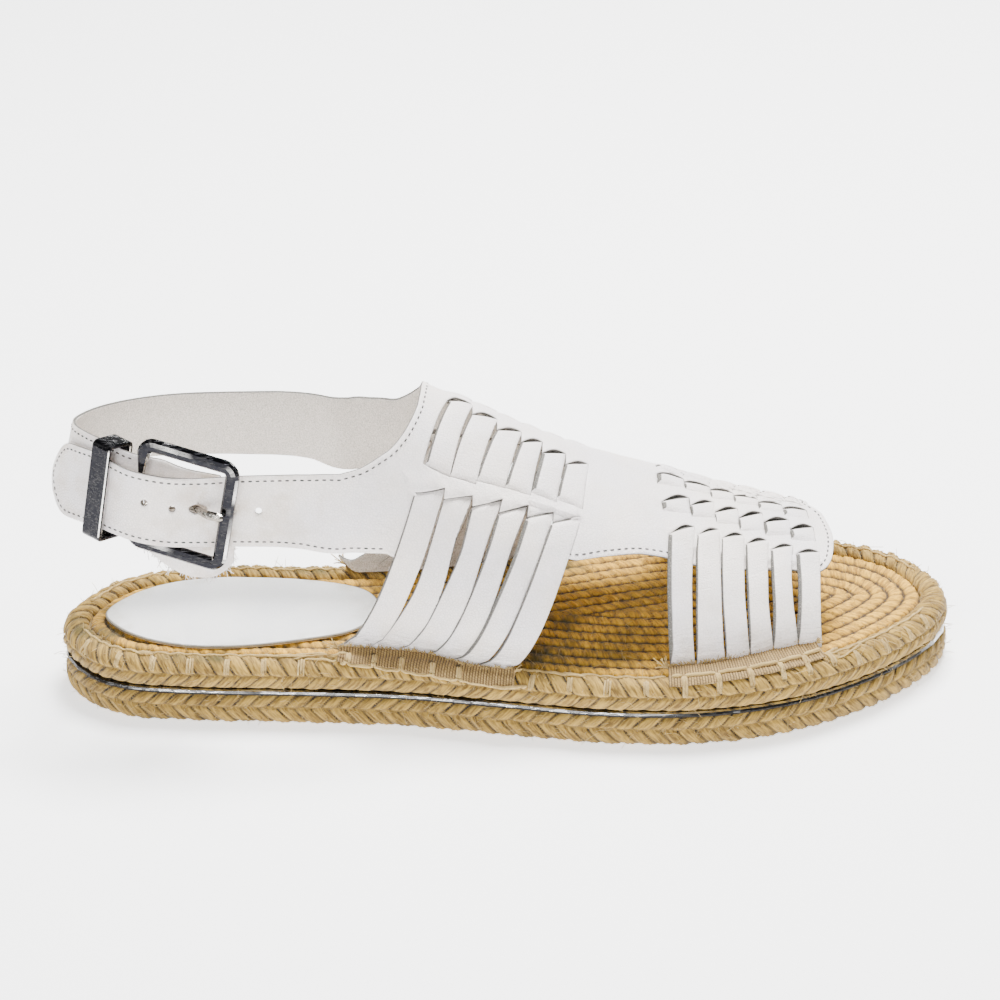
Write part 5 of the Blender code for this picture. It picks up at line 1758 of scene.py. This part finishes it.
SEWING = [
    # tape, places of the upright stitches, how far they reach up and down
    ("outer_instep", [-47.0, -39.0, -30.8, -21.6, -13.6], 3.0, -0.2),
    ("outer_toe", [53.0, 63.4, 73.2, 82.8, 90.8, 98.6], 0.2, -6.0),
    ("inner_instep", [-46.0, -37.4, -28.8, -20.2, -11.6, -3.0], 3.0, -0.2),
    ("inner_toe", [53.0, 62.4, 71.8, 81.2, 90.6, 98.6], 0.2, -5.4)]
tape_spots = {}
for number, row in enumerate(TAPES):
    points, out, along, across = tape_grid(row, 60 + number)
    rib = np.broadcast_to(np.arange(len(along))[:, None] / RIB_CELLS, along.shape)
    knot = np.abs(np.sin(math.pi * rib)) ** 0.7
    over = (np.arange(along.shape[1]) // ROW_CELLS + np.floor(rib)) % 2
    weave = knot * (0.5 + 0.5 * over) * (0.9 + 0.2 * chance(np.floor(rib), number))
    tuft = smoothstep(1.3, 0.0, across)
    pits = 0.0 * across              # the needle's holes above the upright stitches
    if "instep" in row[0]:
        for x in SEWING[number][1]:
            pits += np.exp(-((points[..., 0] - x) / 0.75) ** 2
                           - ((across - across[:, -1:] + 4.0) / 0.6) ** 2)
    middle = points + out * ((weave - 0.5) * 0.30 + tuft * 0.12 * wobble(
        along, number, 1.7))[..., None]
    middle, normals = middle.reshape(-1, 3), out.reshape(-1, 3)
    faces = facing(middle, grid_faces(*across.shape), normals[0])
    # painted shade: the weave's low parts and the needle's holes are painted darker through
    # the crease value
    crease_shade = np.maximum(0.6 * np.clip(1.0 - weave, 0, 1) ** 1.5, pits)
    strand = np.stack([across, (rib - np.floor(rib)) * 1.2, np.floor(rib) * 5.3], -1)
    tape = thicken(middle, normals, faces, TAPE_THICKNESS - 0.25, {
        "crease_shade": crease_shade.ravel(), "worn": (0.15 + 0.5 * tuft).ravel(),
        "strand": strand.reshape(-1, 3)}, 0.12)
    name = f"rand_tape_{row[0]}"
    tape_piece = piece(f"{name}_woven", tape, TAPE_JUTE)
    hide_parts(name)
    band = "instep" if "instep" in name else "toe"
    label = "outer" if row[3] < 0 else "inner"
    tape_spots[row[0]] = (points, out)

# %% [markdown]
# ## Threads sewn over the rim
# All threads lie on what is beneath them.  A thread is drawn by how far along
# the shoe it is and how far over the rim, and is then let down on to the
# plait, the coil and the tapes along the surface's own direction.
# %% Laying threads down
covers = ["upper_plait", "footbed_coil", "lower_plait"]
covers += [f"rand_tape_{row[0]}_woven" for row in TAPES]
ground_points, ground_faces, at = [], [], 0
for cover in [o.data for o in bpy.data.objects if o.name in covers]:
    ground_points.append(mesh_values(cover, "co") / MM)
    ground_faces += [[v + at for v in face.vertices] for face in cover.polygons]
    at += len(cover.vertices)
ground = BVHTree.FromPolygons(np.vstack(ground_points).tolist(), ground_faces)


DROP = 6.0               # how far above its resting place a thread starts, mm


def laid(x, reach, side, lift):
    """3-D points of a thread over the rim, and the directions it was laid."""
    x, reach = np.broadcast_arrays(np.asarray(x, float), np.asarray(reach, float))
    spot, away = edge_at(x, side)
    (inset, height), out = (rows.T for rows in rim_place(np.clip(reach, 0, 40)))
    base = off_outline(spot, away, inset - np.minimum(reach, 0), height)
    direction = unit(np.column_stack([-away * out[0][:, None], out[1]]))
    made = []
    for p, d in zip(base, direction):
        hit = ground.ray_cast(Vector(p + d * DROP), Vector(-d), 2 * DROP)[0]
        made.append(np.array(hit) + d * lift if hit else p + d * lift)
    made = np.array(made)
    if len(made) > 4:
        padded = np.pad(made, ((1, 1), (0, 0)), mode="edge")
        made = 0.5 * made + 0.25 * (padded[:-2] + padded[2:])
    return made, direction


def thread(points, radius, seed, sides=6, taper=True):
    """A closed round thread along points, with values for the fibre effect."""
    count = len(points)
    run = unit(np.gradient(points, axis=0))
    first = unit(np.cross(run, (0.31, 0.42, 0.85)))
    second = np.cross(run, first)
    far = walked(points)
    size = np.full(count, radius)
    if taper:
        tip = radius * 1.2
        size = size * (0.35 + 0.65 * np.minimum(
            smoothstep(0, tip, far), smoothstep(far[-1], far[-1] - tip, far)))
    turn = np.arange(sides) * math.tau / sides
    ring = (first[:, None] * np.cos(turn)[None, :, None]
            + second[:, None] * np.sin(turn)[None, :, None]) * size[:, None, None]
    made = (points[:, None] + ring).reshape(-1, 3)
    strand = np.stack(np.broadcast_arrays(
        far[:, None], turn[None] * radius * 1.5 + far[:, None] * 0.9, seed * 3.1), -1)
    crease_shade = np.zeros(count * sides)
    return made, tube_faces(count, sides, flip=True), {
        "crease_shade": crease_shade, "worn": crease_shade + 0.1, "strand": strand.reshape(-1, 3)}


STITCH_SHARE = np.linspace(0, 1, 12)     # places along a short stitch
THREAD_STEP = 0.45
threads = []
for row, (name, places, up, down) in zip(TAPES, SEWING):
    _, start, stop, side, _, _, over_a, over_b, above_edge = row
    on_instep = "instep" in name

    def line_reach(x):
        """How far over the rim the running thread lies at x."""
        share = (x - start) / (stop - start)
        return over_a + (over_b - over_a) * np.clip(share, -0.1, 1.1) - above_edge

    ends = [start + 0.8] + places + [stop + (4.0 if on_instep else 6.0)]
    for k, (a, b) in enumerate(zip(ends, ends[1:])):
        if b - a < 1.0:
            continue
        count = max(int((b - a) / THREAD_STEP), 6)
        x, share = np.linspace(a, b, count), np.linspace(0, 1, count)
        sag = (0.45 if on_instep else -0.25) * 4 * share * (1 - share)
        reach = line_reach(x) + sag + 0.12 * wobble(x, 70 + k, 5.0)
        if on_instep and k == len(ends) - 2:
            reach = reach - 1.6 * share ** 2
        threads.append(thread(laid(x, reach, side, 0.30)[0], 0.60, k))
    for k, x in enumerate(places):
        lean = 0.25 * wobble(k, 80, 2.3)
        reach = line_reach(x) - up + (up - down) * STITCH_SHARE
        spots = x + lean * STITCH_SHARE + 0.25 * np.sin(STITCH_SHARE * 3)
        for beside in (-0.36, 0.36):         # each upright stitch is two strands
            line, out = laid(spots + beside, reach, side, 0.22)
            end, sunk = (0, 0.5) if on_instep else (-1, 0.9)
            line[end] -= out[end] * sunk
            threads.append(thread(line, 0.5, k + 20 * beside))

WRAP_PITCH = 11.2
FRONT_WRAPS = [106.0, 115.0, 122.6, 128.6]
WRAPS = [
    # side, and the places of the three-strand wraps that bind the plait's top
    (-1, [*np.arange(-128.0, -52.0, WRAP_PITCH), 8.0, 19.2, 30.4, 41.6, *FRONT_WRAPS]),
    (1, [*np.arange(-124.0, -52.0, WRAP_PITCH), 9.0, 20.2, 31.4, 42.0, *FRONT_WRAPS])]
for side, places in WRAPS:
    for k, x in enumerate(places):
        tilt = 0.9 * (chance(k, 90 + side) - 0.5)
        spacing = 0.62 * float(np.clip(abs(edge_at(x, side)[1][1]), 0.25, 1))
        for n in (-1, 0, 1):
            number = k * 3 + n
            shift = n * spacing + tilt * STITCH_SHARE * spacing \
                + 0.2 * math.sin(k * 2.1 + n)
            reach = 1.7 + 0.5 * chance(number, 5) + STITCH_SHARE * (
                4.6 + 0.8 * chance(number, 6))
            line, out = laid(x + shift, reach, side, 0.16)
            line[0] -= out[0] * 0.5
            line[-1] -= out[-1] * 0.7
            threads.append(thread(line, 0.34, number))
for side in (-1, 1):                         # a thread along the rim's inner edge
    for start, stop in ((-133.0, -51.0), (4.0, 48.0), (98.0, 132.0)):
        x = np.linspace(start, stop, int((stop - start) / THREAD_STEP / 1.6))
        line = laid(x, 0.4 + 0.35 * wobble(x, 33, 12.0), side, 0.15)[0]
        threads.append(thread(line, 0.42, 7))
piece("rim_sewing", join(threads), THREAD_JUTE)
print("threads:", len(threads))

# %% [markdown]
# ## Loose straws and fuzz
# Jute sheds.  A few broken straws lie on the rim, most of them on the heel side
# of the instep tape.  Short frayed ends stand up at the tapes' corners and upper
# edges, and fine hairs stand out of the plaits.  Each hair is a thin thread that
# starts in the surface.
# %% Straws, frayed ends and hairs
def hair(start, direction, length, radius, curl, seed, sides=3, steps=5):
    """A thin curved fibre that starts at a point of the surface."""
    bend = np.array([chance(seed, 1) - 0.5, chance(seed, 2) - 0.5, chance(seed, 3) - 0.65])
    t = np.linspace(0, 1, steps)
    spots = start + np.outer(t * length, direction) + np.outer(t ** 2 * length * curl, bend)
    spots[:, 2] = np.maximum(spots[:, 2], 0.2)          # it lies on the floor at most
    return thread(spots, radius, seed, sides, taper=False)


STRAWS = [
    # from x, to x, over the rim there and there, lift there and there, radius
    (-78.0, -58.5, 0.3, 1.1, 0.3, 0.7, 0.42), (-72.0, -53.0, 0.9, 0.2, 0.5, 1.2, 0.36),
    (-63.5, -51.5, 1.6, 0.9, 0.4, 1.5, 0.30), (-60.0, -50.0, 2.2, 2.6, 0.4, 0.9, 0.28),
    (-57.0, -47.0, 0.2, 1.4, 0.8, 1.6, 0.30), (-116.0, -106.0, 1.0, 1.4, 0.4, 0.8, 0.26),
    (12.0, 24.0, 0.8, 1.7, 0.3, 0.9, 0.28), (100.0, 109.0, 2.8, 2.0, 0.3, 0.9, 0.26)]
TUFT_HAIRS = 260      # along each tape's upper edge
loose = []
for k, (a, b, over_a, over_b, lift_a, lift_b, radius) in enumerate(STRAWS):
    share = np.linspace(0, 1, 14)
    line, out = laid(a + (b - a) * share, over_a + (over_b - over_a) * share
                     + 0.4 * np.sin(share * 4 + k), -1, 0.0)
    line = line + out * (lift_a + (lift_b - lift_a) * share)[:, None]
    loose.append(thread(line, radius, 200 + k, 5))

for number, row in enumerate(TAPES):
    points, out = tape_spots[row[0]]
    for k in range(TUFT_HAIRS):
        i = int(chance(k, 300 + number) * (len(points) - 1))
        start = points[i, 0] + out[i, 0] * (chance(k, 304) - 0.2) * 0.5
        direction = unit(np.array([0.7 * (chance(k, 301) - 0.5), 0.0, 0.55])
                         + out[i, 0] * (0.15 + 0.9 * chance(k, 302)))
        loose.append(hair(start, direction, 0.5 + 0.9 * chance(k, 303), 0.13, 1.2,
                          k + 1000 * number))
    for end, lean in ((0, -1.0), (-1, 1.0)):
        for k in range(12):
            j = int(chance(k, 310 + number) * 5)
            start = points[end, j] + out[end, j] * 0.1
            direction = unit(np.array([lean * (0.3 + chance(k, 311)), 0.0,
                                       0.9 * chance(k, 312)]) + out[end, j] * 0.5)
            loose.append(hair(start, direction, 1.6 + 3.0 * chance(k, 313) * (end == 0),
                              0.15, 0.8, k + 500, 4, 6))


def surface_hairs(owner, count, seed, length, radius, keep):
    """Hairs from random points of a mesh, mostly lying along it."""
    spots, dirs = mesh_values(owner.data, "co") / MM, mesh_values(owner.data, "normal")
    usable = np.nonzero(keep(spots, dirs))[0]
    chosen = usable[(chance(np.arange(count), seed) * len(usable)).astype(int)]
    made = []
    for k, spot in enumerate(chosen):
        side_way = unit(np.cross(dirs[spot], (0.0, 0.0, 1.0)) + 1e-6)
        lean = (chance(k, seed + 1) - 0.5) * 2
        direction = unit(side_way * lean * 1.6 + dirs[spot] * (0.12 + 0.5 * chance(
            k, seed + 2)) + np.array([0, 0, 0.5 * (chance(k, seed + 3) - 0.3)]))
        made.append(hair(spots[spot] - dirs[spot] * 0.1, direction,
                         length * (0.4 + chance(k, seed + 4)), radius, 1.4, seed * 7 + k))
    return made


HAIRS = 900
HAIRY = [
    # piece, hairs, seed, length, radius, where they grow by place and direction
    (upper_plait, HAIRS, 401, 2.6, 0.075, lambda p, d: (p[:, 2] > 12.5) & (d[:, 2] > -0.4)),
    (lower_plait, HAIRS, 411, 2.4, 0.075, lambda p, d: (p[:, 2] > 2.5) & (p[:, 2] < 10.0)),
    (footbed_coil, HAIRS // 2, 421, 2.4, 0.07,
     lambda p, d: (d[:, 2] > 0.5) & (p[:, 0] > -20))]
for row in HAIRY:
    loose += surface_hairs(*row)
piece("loose_fibres", join(loose), THREAD_JUTE)
print("loose fibres:", len(loose))

# %% [markdown]
# ## Frayed edge of the strap's inner end
# The inner strap's end hangs below the buckle.  Its lower and front edges
# were cut and not sewn, so short white fibres of leather stand out of them.
# %% Fibres along the cut end
FRAY_COUNT = 120
far, spot, half = STRAP_PATHS[1]
mine = np.nonzero((spot[:, 1] < 0) & (spot[:, 0] > -102.0))[0]
lower_edge = spot[mine] - half[mine]
front_edge = spot[mine[-1]] + np.linspace(-1, 0.6, 12)[1:, None] * half[mine[-1]]
cut_edge = resample(np.vstack([lower_edge, front_edge]), 200)
edge_run = unit(np.gradient(cut_edge, axis=0))
fray = []
for k in range(FRAY_COUNT):
    i = int(chance(k, 501) * 199)
    away = np.array([edge_run[i, 2], 0.0, -edge_run[i, 0]])
    direction = unit(away + edge_run[i] * 1.4 * (chance(k, 502) - 0.5)
                     + np.array([0, 0.8 * (chance(k, 503) - 0.6), 0]))
    start = cut_edge[i] - away * 0.3 + np.array([0, 0.8 * (chance(k, 504) - 0.5), 0])
    fray.append(hair(start, direction, 0.5 + 1.3 * chance(k, 505) ** 2,
                     0.11, 1.6, 900 + k))
piece("strap_end_fray", join(fray), WHITE_LEATHER)
print("frayed fibres:", len(fray))
